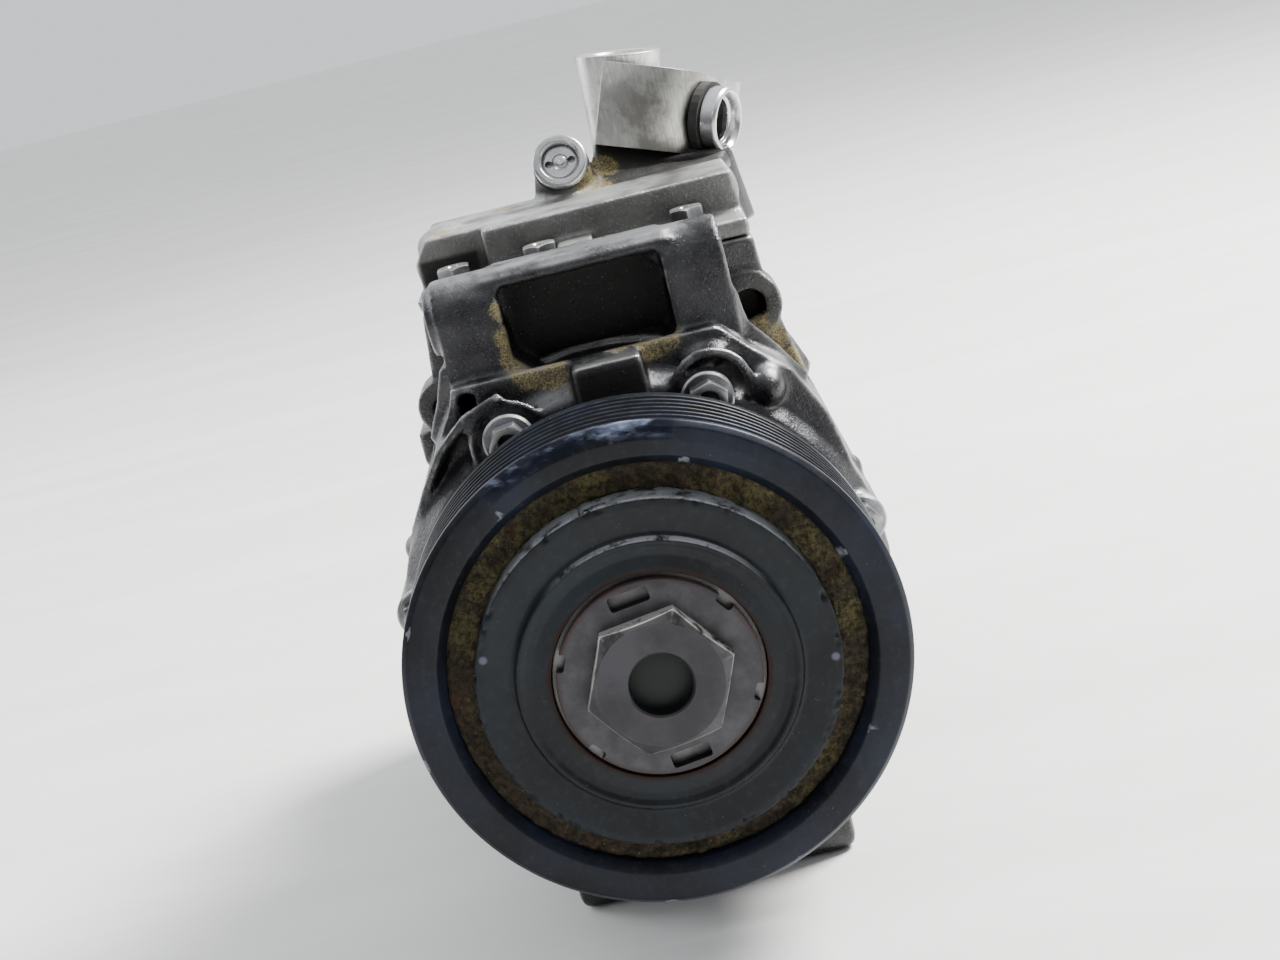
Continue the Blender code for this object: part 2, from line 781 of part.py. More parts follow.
def make_port_block():
    plan = [
        (PORT_LEFT, PORT_FRONT),
        (PORT_CORNER, PORT_FRONT),
        (PORT_RIGHT, PORT_BACK),
        (PORT_LEFT, PORT_BACK),
    ]
    block = outline("port_block", plan, -PORT_HALF_HEIGHT, PORT_HALF_HEIGHT, MACHINED_ALUMINIUM, PORT)
    lie = Matrix.Rotation(-pi / 2, 4, "X")
    block.data.transform(lie @ Matrix.Diagonal((1, -1, 1, 1)))
    block.data.flip_normals()

    def tower(form):
        add_rod(form, TOWER_FOOT, TOWER_TOP, 0.0090, 0.0115, segments=28)

    def tower_hole(form):
        axis = (TOWER_TOP - TOWER_FOOT).normalized()
        add_rod(form, TOWER_TOP - axis * 0.0180, TOWER_TOP + axis * 0.0010, 0.0062, segments=20)

    def port_hole(form):
        add_rod(form, PORT_SEAT - PORT_AXIS * 0.0120, PORT_SEAT + PORT_AXIS * 0.0010, 0.0055, segments=20)

    join(block, tool("port_tower", tower))
    cut(block, tool("tower_hole", tower_hole), tool("port_hole", port_hole, PORT))

    def ring(form, start, end, radius):
        add_rod(form, PORT_SEAT + PORT_AXIS * start, PORT_SEAT + PORT_AXIS * end, radius, segments=28)

    seal_start, seal_end = GAP, GAP + 0.0024
    sleeve_start, sleeve_end = seal_end + GAP, seal_end + GAP + 0.0047
    seal = part("port_seal", lambda form: ring(form, seal_start, seal_end, 0.0098), RUBBER, PORT)
    cut(seal, tool("seal_bore", lambda form: ring(form, -0.0010, 0.0100, 0.0058), PORT))
    sleeve_r = 0.0088
    sleeve = part("port_sleeve", lambda form: ring(form, sleeve_start, sleeve_end, sleeve_r), BRIGHT_STEEL, PORT)
    cut(sleeve, tool("sleeve_mouth", lambda form: ring(form, 0.0040, 0.0100, 0.0074), PORT))
    cut(sleeve, tool("sleeve_bore", lambda form: ring(form, -0.0010, 0.0100, 0.0056), PORT))


def make_control_valve():
    centre_z = -0.0300
    front = REAR_CHAMBER_Y + 0.0080

    def body(form):
        add_rod(form, (0, front, centre_z), (0, REAR_END_Y + 0.0030, centre_z), 0.0085)

    def cap(form):
        add_rod(form, (0, REAR_END_Y + 0.0010, centre_z), (0, REAR_END_Y + 0.0070, centre_z), 0.0105)

    def socket(form):
        low = (-0.0060, REAR_END_Y + 0.0030, centre_z + 0.0040)
        add_box(form, low, (0.0060, REAR_END_Y + 0.0090, centre_z + 0.0200))

    valve = part("control_valve", body, BLACK_MOULDING)
    join(valve, tool("control_valve_cap", cap), tool("control_valve_socket", socket))


# ---- shaft and swash plate ----


def make_drive_shaft():
    profile = [
        (0.0, SHAFT_END_Y),
        (SHAFT_R, SHAFT_END_Y),
        (SHAFT_R, NOSE_Y - 0.0002),
        (SHAFT_TIP_R, NOSE_Y - 0.0012),
        (SHAFT_TIP_R, SHAFT_TIP_Y),
        (0.0, SHAFT_TIP_Y),
    ]
    turned("drive_shaft", profile, GROUND_STEEL, DRIVE, steps=24)


def make_shaft_supports():
    bore, outer = SHAFT_R + GAP, NOSE_BORE_R - GAP
    rings = (
        ("shaft_seal", 0.0080, 0.0150, outer, RUBBER),
        ("front_bearing", 0.0250, 0.0380, outer, BEARING_STEEL),
        ("rear_bearing", 0.1185, 0.1300, 0.0116, BEARING_STEEL),
    )
    for name, front, back, radius, material in rings:
        turned(name, [(radius, back), (radius, front), (bore, front), (bore, back)], material, steps=24)


def make_lug_plate():
    bore = SHAFT_R + GAP
    profile = [
        (0.0160, 0.0600),
        (0.0190, 0.0512),
        (0.0380, 0.0505),
        (0.0380, 0.0470),
        (bore, 0.0465),
        (bore, 0.0600),
    ]
    turned("lug_plate", profile, CAST_IRON, DRIVE, steps=36)


def make_return_spring():
    """Coil round the shaft behind the sleeve, with open turns."""
    radius, wire, front, back, turns = 0.0100, 0.0005, 0.0962, 0.1008, 2
    curve = bpy.data.curves.new("return_spring", "CURVE")
    curve.dimensions = "3D"
    curve.bevel_depth = wire
    curve.bevel_resolution = 2
    curve.use_fill_caps = True
    spline = curve.splines.new("POLY")
    count = 14 * turns
    spline.points.add(count)
    for index, point in enumerate(spline.points):
        angle = 2 * pi * turns * index / count
        y = front + wire + (back - front - 2 * wire) * index / count
        point.co = (radius * sin(angle), y, radius * cos(angle), 1)
    coil = bpy.data.objects.new("return_spring", curve)
    coil.parent = DRIVE
    curve.materials.append(SPRING_STEEL)
    PARTS.objects.link(coil)


def make_swash_sleeve():
    profile = [(0.0120, 0.0085), (0.0120, -0.0085), (0.0087, -0.0085), (0.0087, 0.0085)]
    sleeve = turned("swash_sleeve", profile, GROUND_STEEL, SLEEVE, steps=24)

    def pins(form):
        add_rod(form, (-0.0190, 0, 0), (-0.0100, 0, 0), 0.0030, segments=14)
        add_rod(form, (0.0100, 0, 0), (0.0190, 0, 0), 0.0030, segments=14)

    join(sleeve, tool("sleeve_pins", pins, SLEEVE))


def make_swash_plate():
    hub_half = 0.0065
    profile = [
        (SWASH_R, SWASH_HALF),
        (SWASH_R, -SWASH_HALF),
        (0.0220, -SWASH_HALF),
        (0.0208, -hub_half),
        (0.0150, -hub_half),
        (0.0150, hub_half),
        (0.0208, hub_half),
        (0.0220, SWASH_HALF),
    ]
    plate = turned("swash_plate", profile, CAST_IRON, TILT, steps=42)

    def arms(form):
        for side in (-1, 1):
            near, far = sorted((side * 0.0050, side * 0.0090))
            add_box(form, (near, -0.0200, 0.0158), (far, 0.0, 0.0195))

    def pin_holes(form):
        add_rod(form, (-0.0197, 0, 0), (0.0197, 0, 0), 0.0034, segments=14)

    join(plate, tool("swash_arms", arms, TILT))
    cut(plate, tool("swash_pin_holes", pin_holes, TILT))


def cylinder_place(number):
    angle = number * STEP_ANGLE
    return Vector((PISTON_CIRCLE_R * sin(angle), SWASH_Y, PISTON_CIRCLE_R * cos(angle))), angle


def make_piston(number):
    """Skirt, slimmer neck and the bridge that reaches round the edge of the swash plate.

    Its own frame stands on the shoe centre and has +Z pointing away from the shaft."""
    centre, angle = cylinder_place(number)
    slide = make_empty(f"piston_slide_{number + 1}", centre, FRAME, (0, angle, 0))
    front = -SLOT_HALF - 0.0058
    skirt, end = SKIRT_Y - SWASH_Y, PISTON_END_Y - SWASH_Y

    def skirt_rod(form):
        add_rod(form, (0, skirt, 0), (0, end, 0), PISTON_R, segments=20)

    def neck(form):
        add_rod(form, (0, front, 0), (0, skirt + 0.0010, 0), NECK_R, segments=12)

    def bridge(form):
        add_box(form, (-0.0055, front + 0.0002, 0.0050), (0.0055, skirt + 0.0006, 0.0116))

    def slot(form):
        add_box(form, (-0.0150, -SLOT_HALF, -0.0150), (0.0150, SLOT_HALF, 0.0087))

    def sockets(form):
        bmesh.ops.create_uvsphere(form, u_segments=12, v_segments=8, radius=SHOE_BALL_R + 0.0008)

    piston = part(f"piston_{number + 1}", skirt_rod, MACHINED_ALUMINIUM, slide)
    join(piston, tool(piston.name + "_neck", neck, slide), tool(piston.name + "_bridge", bridge, slide))
    cut(piston, tool(piston.name + "_slot", slot, slide), tool(piston.name + "_sockets", sockets, slide))
    swivel = make_empty(f"shoe_swivel_{number + 1}", (0, 0, 0), slide)
    make_shoe(f"rear_shoe_{number + 1}", 1, swivel)
    make_shoe(f"front_shoe_{number + 1}", -1, swivel)


def make_shoe(name, side, parent):
    """A ball segment: its flat runs on the swash plate and its crown sits in the piston."""
    flat = SWASH_HALF + 0.0004
    first = asin(flat / SHOE_BALL_R)
    steps = 3
    angles = [first + (pi / 2 - first) * index / steps for index in range(steps + 1)]
    crown = [(SHOE_BALL_R * cos(angle), SHOE_BALL_R * sin(angle)) for angle in angles]
    crown[-1] = (0.0, SHOE_BALL_R)
    profile = list(reversed(crown)) + [(0.0, flat)]
    if side < 0:
        profile = [(radius, -y) for radius, y in reversed(profile)]
    turned(name, profile, BEARING_STEEL, parent, steps=12)


clear_scene()
PARTS = make_collection("ac_compressor")
TOOLS = make_collection("cutters", hidden=True)

FRAME = make_empty("compressor_frame", (0, RIM_Y, SHAFT_HEIGHT))
DRIVE = make_empty("drive_axis", (0, 0, 0), FRAME)
CAGE = make_empty("cage_axis", (0, 0, 0), FRAME)
SLEEVE = make_empty("sleeve_slide", (0, SWASH_Y, 0), FRAME, (0, STEP_ANGLE / 2, 0))
TILT = make_empty("swash_pivot", (0, 0, 0), SLEEVE)
PORT = make_empty("port_frame", PORT_CENTRE, FRAME)
PORT.rotation_euler = (Matrix.Rotation(PORT_TURN, 3, "Y") @ Matrix.Rotation(PORT_LEAN, 3, "X")).to_euler()

CAST_ALUMINIUM = make_material("cast_aluminium", (0.17, 0.175, 0.18), 0.5, 0.8)
COVER_ALUMINIUM = make_material("cover_aluminium", (0.42, 0.43, 0.43), 0.5, 0.8)
MACHINED_ALUMINIUM = make_material("machined_aluminium", (0.55, 0.55, 0.52), 0.35, 0.9)
BLACK_PAINT = make_material("black_paint", (0.012, 0.013, 0.017), 0.35, 0.0)
BLACK_MOULDING = make_material("black_moulding", (0.016, 0.016, 0.018), 0.45, 0.0)
RUBBER = make_material("rubber", (0.02, 0.02, 0.02), 0.8, 0.0)
HUB_STEEL = make_material("hub_steel", (0.30, 0.30, 0.31), 0.45, 0.9)
BOLT_STEEL = make_material("bolt_steel", (0.32, 0.33, 0.34), 0.4, 0.9)
BRIGHT_STEEL = make_material("bright_steel", (0.75, 0.75, 0.76), 0.25, 1.0)
GROUND_STEEL = make_material("ground_steel", (0.5, 0.5, 0.52), 0.25, 1.0)
BEARING_STEEL = make_material("bearing_steel", (0.5, 0.5, 0.52), 0.2, 1.0)
SPRING_STEEL = make_material("spring_steel", (0.25, 0.26, 0.28), 0.35, 1.0)
CAST_IRON = make_material("cast_iron", (0.10, 0.10, 0.10), 0.6, 0.7)
BRASS = make_material("brass", (0.55, 0.42, 0.16), 0.35, 1.0)

make_pulley_rim()
make_damper_ring()
make_damper_rubber()
make_limiter_plate()
make_hub_nut()
make_pulley_bearing()
make_front_housing()
make_cylinder_block()
make_rear_housing()
make_valve_plate()
for bolt_number in range(CYLINDERS):
    make_through_bolt(bolt_number)
make_top_cover()
for bolt_number in range(len(COVER_BOLTS)):
    make_cover_bolt(bolt_number)
make_relief_valve()
make_port_block()
make_control_valve()
make_drive_shaft()
make_shaft_supports()
make_lug_plate()
make_return_spring()
make_swash_sleeve()
make_swash_plate()
for cylinder_number in range(CYLINDERS):
    make_piston(cylinder_number)
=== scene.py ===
"""Looks of the air conditioning compressor: cast housings, a worn coated pulley, a rusty hub and greasy dirt.

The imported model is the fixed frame. Visible castings and turned pieces are rebuilt here with finer shapes,
and every piece gets a procedural material. Lengths in the shape data are millimetres in the shaft frame:
its origin is the centre of the pulley's front rim, +Y runs along the shaft and +Z points up.
"""

import math

import bmesh
import bpy
from mathutils import Matrix, Vector, noise


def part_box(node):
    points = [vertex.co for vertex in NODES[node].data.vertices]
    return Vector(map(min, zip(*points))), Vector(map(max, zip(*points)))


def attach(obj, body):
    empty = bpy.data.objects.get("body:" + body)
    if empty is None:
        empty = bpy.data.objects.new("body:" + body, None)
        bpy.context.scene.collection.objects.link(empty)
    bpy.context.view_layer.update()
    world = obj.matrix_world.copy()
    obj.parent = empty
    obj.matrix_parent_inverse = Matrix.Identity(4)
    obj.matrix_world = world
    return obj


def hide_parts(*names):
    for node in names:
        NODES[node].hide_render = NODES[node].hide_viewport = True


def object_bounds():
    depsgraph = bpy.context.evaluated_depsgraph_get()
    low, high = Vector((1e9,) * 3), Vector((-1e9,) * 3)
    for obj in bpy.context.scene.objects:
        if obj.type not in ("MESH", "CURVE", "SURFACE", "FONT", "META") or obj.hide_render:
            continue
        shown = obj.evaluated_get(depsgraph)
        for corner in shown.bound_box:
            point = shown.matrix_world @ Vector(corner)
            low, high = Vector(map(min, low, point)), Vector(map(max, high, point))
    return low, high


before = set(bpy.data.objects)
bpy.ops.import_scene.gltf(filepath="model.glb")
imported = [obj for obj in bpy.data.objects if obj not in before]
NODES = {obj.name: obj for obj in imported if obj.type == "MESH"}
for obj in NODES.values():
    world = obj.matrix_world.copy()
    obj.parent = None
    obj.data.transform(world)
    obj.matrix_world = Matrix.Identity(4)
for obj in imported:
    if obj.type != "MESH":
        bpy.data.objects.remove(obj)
CAD_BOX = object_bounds()

MM = 0.001
CAD_WELD = 0.000001
SEAM_WELD = 0.000002
VOXEL = 0.0007
RIM_LOW, RIM_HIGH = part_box("pulley_rim")
SHAFT = Vector((0, RIM_LOW.y, (RIM_LOW.z + RIM_HIGH.z) / 2))
RIM_R = (RIM_HIGH.z - RIM_LOW.z) / 2 / MM


def at(x, y, z):
    """A point of the shaft frame, in millimetres, as a point of the scene in metres."""
    return SHAFT + Vector((x, y, z)) * MM


def in_shaft_frame(point):
    """The reverse of at()."""
    return (point - SHAFT) / MM


def outward(local):
    """The direction away from the shaft at a point of the shaft frame."""
    return Vector((local.x, 0, local.z)).normalized()


def stand_at(point, axis):
    """A frame at a point, whose +Y runs against the axis."""
    return Matrix.Translation(point) @ (-axis).to_track_quat("Y", "Z").to_matrix().to_4x4()


# ---- mesh helpers ----


def link(name, mesh, material=None):
    item = bpy.data.objects.new(name, mesh)
    bpy.context.scene.collection.objects.link(item)
    if material:
        mesh.materials.clear()
        mesh.materials.append(material)
    return item


def mesh_of(name, form):
    bmesh.ops.recalc_face_normals(form, faces=form.faces)
    mesh = bpy.data.meshes.new(name)
    form.to_mesh(mesh)
    form.free()
    return mesh


def shade(mesh, angle=35):
    mesh.shade_smooth()
    mesh.set_sharp_from_angle(angle=math.radians(angle))
    return mesh


def baked(item):
    """The item with its modifiers applied to a new mesh."""
    graph = bpy.context.evaluated_depsgraph_get()
    mesh = bpy.data.meshes.new_from_object(item.evaluated_get(graph))
    item.modifiers.clear()
    item.data = mesh
    return item


def modify(item, kind, **settings):
    modifier = item.modifiers.new(kind.title(), kind)
    for key, value in settings.items():
        setattr(modifier, key, value)


def stand_in(node):
    """Hides a CAD node, whose place a rebuilt piece takes."""
    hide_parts(node)


def aim(direction):
    """A rotation that takes +Z to the direction."""
    return Vector(direction).to_track_quat("Z", "Y").to_matrix().to_4x4()


def add_rod(form, start, end, radius, end_radius=None, segments=28):
    start, end = at(*start), at(*end)
    place = Matrix.Translation((start + end) / 2) @ aim(end - start)
    bmesh.ops.create_cone(
        form, cap_ends=True, segments=segments, radius1=radius * MM,
        radius2=(radius if end_radius is None else end_radius) * MM,
        depth=(end - start).length, matrix=place,
    )


def add_blob(form, centre, radii, lean=(0, 0, 0)):
    spin = Matrix.Rotation(math.radians(lean[0]), 4, "X")
    spin = Matrix.Rotation(math.radians(lean[1]), 4, "Y") @ spin
    spin = Matrix.Rotation(math.radians(lean[2]), 4, "Z") @ spin
    scale = Matrix.Diagonal((*[radius * MM for radius in radii], 1))
    place = Matrix.Translation(at(*centre)) @ spin @ scale
    bmesh.ops.create_icosphere(form, subdivisions=3, radius=1, matrix=place)


def add_plug(form, place, radius, depth, segments):
    """A cylinder in metres along +Z of a frame."""
    bmesh.ops.create_cone(
        form, cap_ends=True, segments=segments, radius1=radius, radius2=radius, depth=depth, matrix=place,
    )


def add_box(form, low, high, turn=0):
    """A box between two corners, turned about the shaft direction through its middle."""
    low, high = Vector(low), Vector(high)
    middle = (low + high) / 2
    spin = Matrix.Rotation(math.radians(turn), 4, "Y")
    place = Matrix.Translation(at(*middle)) @ spin @ Matrix.Diagonal((*((high - low) * MM), 1))
    bmesh.ops.create_cube(form, size=1, matrix=place)


def add_chain(form, points, radius):
    """Rods from point to point with a ball on each joint."""
    for start, end in zip(points, points[1:]):
        add_rod(form, start, end, radius, segments=14)
    for point in points:
        add_blob(form, point, (radius, radius, radius))


def add_arc(form, centre, arc_radius, radius, start, end):
    """A round bar bent round a centre across the shaft. Angles run clockwise from +Z in degrees."""
    steps = 10
    points = []
    for index in range(steps + 1):
        angle = math.radians(start + (end - start) * index / steps)
        x = centre[0] + arc_radius * math.sin(angle)
        z = centre[2] + arc_radius * math.cos(angle)
        points.append((x, centre[1], z))
    add_chain(form, points, radius)


def rounded(points, radius):
    """A closed outline with each corner replaced by an arc-like curve."""
    steps, longest_share = 4, 0.45
    result = []
    count = len(points)
    for index, corner in enumerate(points):
        corner = Vector(corner)
        before, after = Vector(points[index - 1]), Vector(points[(index + 1) % count])
        reach_in = min(radius, (before - corner).length * longest_share)
        reach_out = min(radius, (after - corner).length * longest_share)
        first = corner + (before - corner).normalized() * reach_in
        last = corner + (after - corner).normalized() * reach_out
        for step in range(steps + 1):
            t = step / steps
            result.append(first * (1 - t) ** 2 + corner * 2 * t * (1 - t) + last * t * t)
    return result


def lathe(name, outline, body, material, radius, segments, stand=None, angle=35):
    """A ring turned from a closed (radius, y) outline about the shaft, or about +Y of a stand.

    The radius rounds the outline's corners. The angle is the least one that shades sharp.
    """
    form = bmesh.new()
    outline = rounded(outline, radius)
    rings = []
    for step in range(segments):
        turn = 2 * math.pi * step / segments
        ring = []
        for point in outline:
            r, y = point.x * MM, point.y * MM
            ring.append(form.verts.new((r * math.sin(turn), y, r * math.cos(turn))))
        rings.append(ring)
    for step in range(segments):
        ring, following = rings[step], rings[(step + 1) % segments]
        for index in range(len(ring)):
            nearby = (index + 1) % len(ring)
            form.faces.new((ring[index], ring[nearby], following[nearby], following[index]))
    bmesh.ops.remove_doubles(form, verts=form.verts, dist=SEAM_WELD)
    form.transform(stand or Matrix.Translation(SHAFT))
    item = link(name, shade(mesh_of(name, form), angle), material)
    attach(item, body)
    return item


def cutter(name, build):
    """A hidden solid for carve()."""
    form = bmesh.new()
    build(form)
    item = link(name, mesh_of(name, form))
    item.hide_render = True
    item.hide_viewport = True
    return item


def carve(item, *tools):
    """Cuts the tools out of the piece and removes them."""
    for tool in tools:
        modify(item, "BOOLEAN", operation="DIFFERENCE", solver="EXACT", object=tool)
    if tools:
        baked(item)
    for tool in tools:
        bpy.data.objects.remove(tool, do_unlink=True)


def welded(node):
    """A copy of a CAD node's mesh with its triangles joined along their edges."""
    form = bmesh.new()
    form.from_mesh(NODES[node].data)
    bmesh.ops.remove_doubles(form, verts=form.verts, dist=CAD_WELD)
    mesh = bpy.data.meshes.new(node + "_welded")
    form.to_mesh(mesh)
    form.free()
    return mesh


def add_wedge(form, corner, legs, depth):
    """A triangular prism that fills a corner seen along the shaft. Legs run along X and Z, depth along Y."""
    spread = ((0, 0), (legs[0], 0), (0, legs[1]))
    front = [form.verts.new(at(corner[0] + x, depth[0], corner[1] + z)) for x, z in spread]
    back = [form.verts.new(at(corner[0] + x, depth[1], corner[1] + z)) for x, z in spread]
    faces = [form.faces.new(front), form.faces.new(back)]
    for index in range(3):
        after = (index + 1) % 3
        faces.append(form.faces.new((front[index], front[after], back[after], back[index])))
    bmesh.ops.recalc_face_normals(form, faces=faces)


def add_loft(form, sections):
    """A closed skin over a row of outlines that hold the same number of points."""
    rings = [[form.verts.new(at(*point)) for point in section] for section in sections]
    faces = [form.faces.new(rings[0]), form.faces.new(rings[-1])]
    for ring, following in zip(rings, rings[1:]):
        for index in range(len(ring)):
            after = (index + 1) % len(ring)
            faces.append(form.faces.new((ring[index], ring[after], following[after], following[index])))
    bmesh.ops.recalc_face_normals(form, faces=faces)


def casting(name, node, add, material, cuts=(), soften=5, ripple=0.10):
    """A cast piece: the CAD solid is cut, gets lumps and ribs, and is melted into one rippled skin."""
    wave_scale, fine_wave_scale = 90, 260
    item = link(name, welded(node), material)
    carve(item, *cuts)
    form = bmesh.new()
    form.from_mesh(item.data)
    add(form)
    form.to_mesh(item.data)
    form.free()
    modify(item, "REMESH", mode="VOXEL", voxel_size=VOXEL, use_smooth_shade=True)
    modify(item, "SMOOTH", factor=0.5, iterations=soften)
    baked(item)
    points = [vert.co.copy() for vert in item.data.vertices]
    normals = [vert.normal.copy() for vert in item.data.vertices]
    moved = []
    for point, normal in zip(points, normals):
        wave = noise.noise(point * wave_scale) + 0.5 * noise.noise(point * fine_wave_scale)
        point += normal * wave * ripple * MM
        point.z = max(point.z, CAD_BOX[0][2])
        moved.extend(point)
    item.data.vertices.foreach_set("co", moved)
    item.data.update()
    item.data.shade_smooth()
    item.data.materials.clear()
    item.data.materials.append(material)
    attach(item, "casing")
    stand_in(node)


# ---- materials ----


class Paint:
    """Builds a node material step by step."""

    def __init__(self, name):
        self.material = bpy.data.materials.new(name)
        self.material.use_nodes = True
        self.tree = self.material.node_tree
        self.shader = self.tree.nodes["Principled BSDF"]
        self.place = self.node("ShaderNodeTexCoord").outputs["Object"]

    def node(self, kind, **settings):
        node = self.tree.nodes.new(kind)
        for key, value in settings.items():
            setattr(node, key, value)
        return node

    def feed(self, socket, value):
        if isinstance(value, bpy.types.NodeSocket):
            self.tree.links.new(value, socket)
        elif isinstance(value, (tuple, list)) and len(value) == 3 and socket.type == "RGBA":
            socket.default_value = (*value, 1)
        else:
            socket.default_value = value

    def set(self, **values):
        for key, value in values.items():
            self.feed(self.shader.inputs[key.replace("_", " ")], value)

    def math(self, operation, first, second, clamp=False):
        node = self.node("ShaderNodeMath", operation=operation, use_clamp=clamp)
        self.feed(node.inputs[0], first)
        self.feed(node.inputs[1], second)
        return node.outputs[0]

    def times(self, first, second):
        return self.math("MULTIPLY", first, second)

    def noise(self, scale, detail=4.0, rough=0.55, stretch=None, shift=None):
        place = self.place
        if stretch or shift:
            mapping = self.node("ShaderNodeMapping")
            self.feed(mapping.inputs["Vector"], place)
            if stretch:
                mapping.inputs["Scale"].default_value = stretch
            if shift:
                mapping.inputs["Location"].default_value = shift
            place = mapping.outputs[0]
        node = self.node("ShaderNodeTexNoise")
        self.feed(node.inputs["Vector"], place)
        node.inputs["Scale"].default_value = scale
        node.inputs["Detail"].default_value = detail
        node.inputs["Roughness"].default_value = rough
        return node.outputs["Fac"]

    def cells(self, scale):
        """Distance to the nearest of many scattered points."""
        node = self.node("ShaderNodeTexVoronoi")
        self.feed(node.inputs["Vector"], self.place)
        node.inputs["Scale"].default_value = scale
        return node.outputs["Distance"]

    def band(self, value, low, high):
        """Rises smoothly from 0 at low to 1 at high, and falls where low is the greater."""
        node = self.node("ShaderNodeMapRange", interpolation_type="SMOOTHSTEP")
        self.feed(node.inputs["Value"], value)
        self.feed(node.inputs["From Min"], low)
        self.feed(node.inputs["From Max"], high)
        return node.outputs[0]

    def mix(self, share, first, second):
        """Goes from the first colour to the second."""
        node = self.node("ShaderNodeMix", data_type="RGBA")
        self.feed(node.inputs["Factor"], share)
        self.feed(node.inputs[6], first)
        self.feed(node.inputs[7], second)
        return node.outputs[2]

    def blend(self, share, first, second):
        """Goes from the first value to the second."""
        node = self.node("ShaderNodeMix", data_type="FLOAT")
        self.feed(node.inputs["Factor"], share)
        self.feed(node.inputs[2], first)
        self.feed(node.inputs[3], second)
        return node.outputs[0]

    def bump(self, height, distance, strength):
        node = self.node("ShaderNodeBump")
        self.feed(node.inputs["Height"], height)
        node.inputs["Distance"].default_value = distance
        node.inputs["Strength"].default_value = strength
        return node.outputs[0]

    def edges(self, low, high):
        """Bright on convex edges."""
        point = self.node("ShaderNodeNewGeometry").outputs["Pointiness"]
        return self.band(point, low, high)

    def hollows(self):
        """Bright in concave corners."""
        point = self.node("ShaderNodeNewGeometry").outputs["Pointiness"]
        return self.band(point, 0.47, 0.40)

    def shut_in(self, reach):
        """Bright where other surfaces are near."""
        node = self.node("ShaderNodeAmbientOcclusion", samples=6)
        node.inputs["Distance"].default_value = reach
        return self.math("SUBTRACT", 1.0, node.outputs["AO"])

    def facing(self, axis):
        """How much the surface looks along an axis, from -1 to 1."""
        normal = self.node("ShaderNodeNewGeometry").outputs["Normal"]
        node = self.node("ShaderNodeVectorMath", operation="DOT_PRODUCT")
        self.feed(node.inputs[0], normal)
        node.inputs[1].default_value = axis
        return node.outputs["Value"]

    def near(self, point, reach, edge=0.6):
        """Bright round a point of the shaft frame."""
        node = self.node("ShaderNodeVectorMath", operation="DISTANCE")
        self.feed(node.inputs[0], self.place)
        node.inputs[1].default_value = at(*point)
        return self.band(node.outputs["Value"], reach * MM, reach * MM * (1 - edge))

    def from_shaft(self):
        """Distance from the shaft axis in millimetres."""
        node = self.node("ShaderNodeVectorMath", operation="MULTIPLY_ADD")
        self.feed(node.inputs[0], self.place)
        node.inputs[1].default_value = (1, 0, 1)
        node.inputs[2].default_value = (0, 0, -SHAFT.z)
        length = self.node("ShaderNodeVectorMath", operation="LENGTH")
        self.feed(length.inputs[0], node.outputs[0])
        return self.times(length.outputs["Value"], 1 / MM)

    def inside(self, low, high):
        """Bright inside a box of the shaft frame, with soft edges."""
        edge = 1.5 * MM
        parts = self.node("ShaderNodeSeparateXYZ")
        self.feed(parts.inputs[0], self.place)
        low, high = at(*low), at(*high)
        result = 1.0
        for axis in range(3):
            value = parts.outputs[axis]
            for end, way in ((low[axis], 1), (high[axis], -1)):
                share = self.band(value, end, end + way * edge)
                result = self.times(result, share)
        return result

    def hoop(self, radius, low, high, soft):
        """Bright between two distances from the shaft, in millimetres."""
        rise = self.band(radius, low, low + soft)
        return self.times(rise, self.band(radius, high, high - soft))

    def current(self, name):
        """What feeds an input of the shader now."""
        return self.shader.inputs[name].links[0].from_socket

    def most(self, *values):
        """The greatest of several values."""
        result = values[0]
        for value in values[1:]:
            result = self.math("MAXIMUM", result, value)
        return result


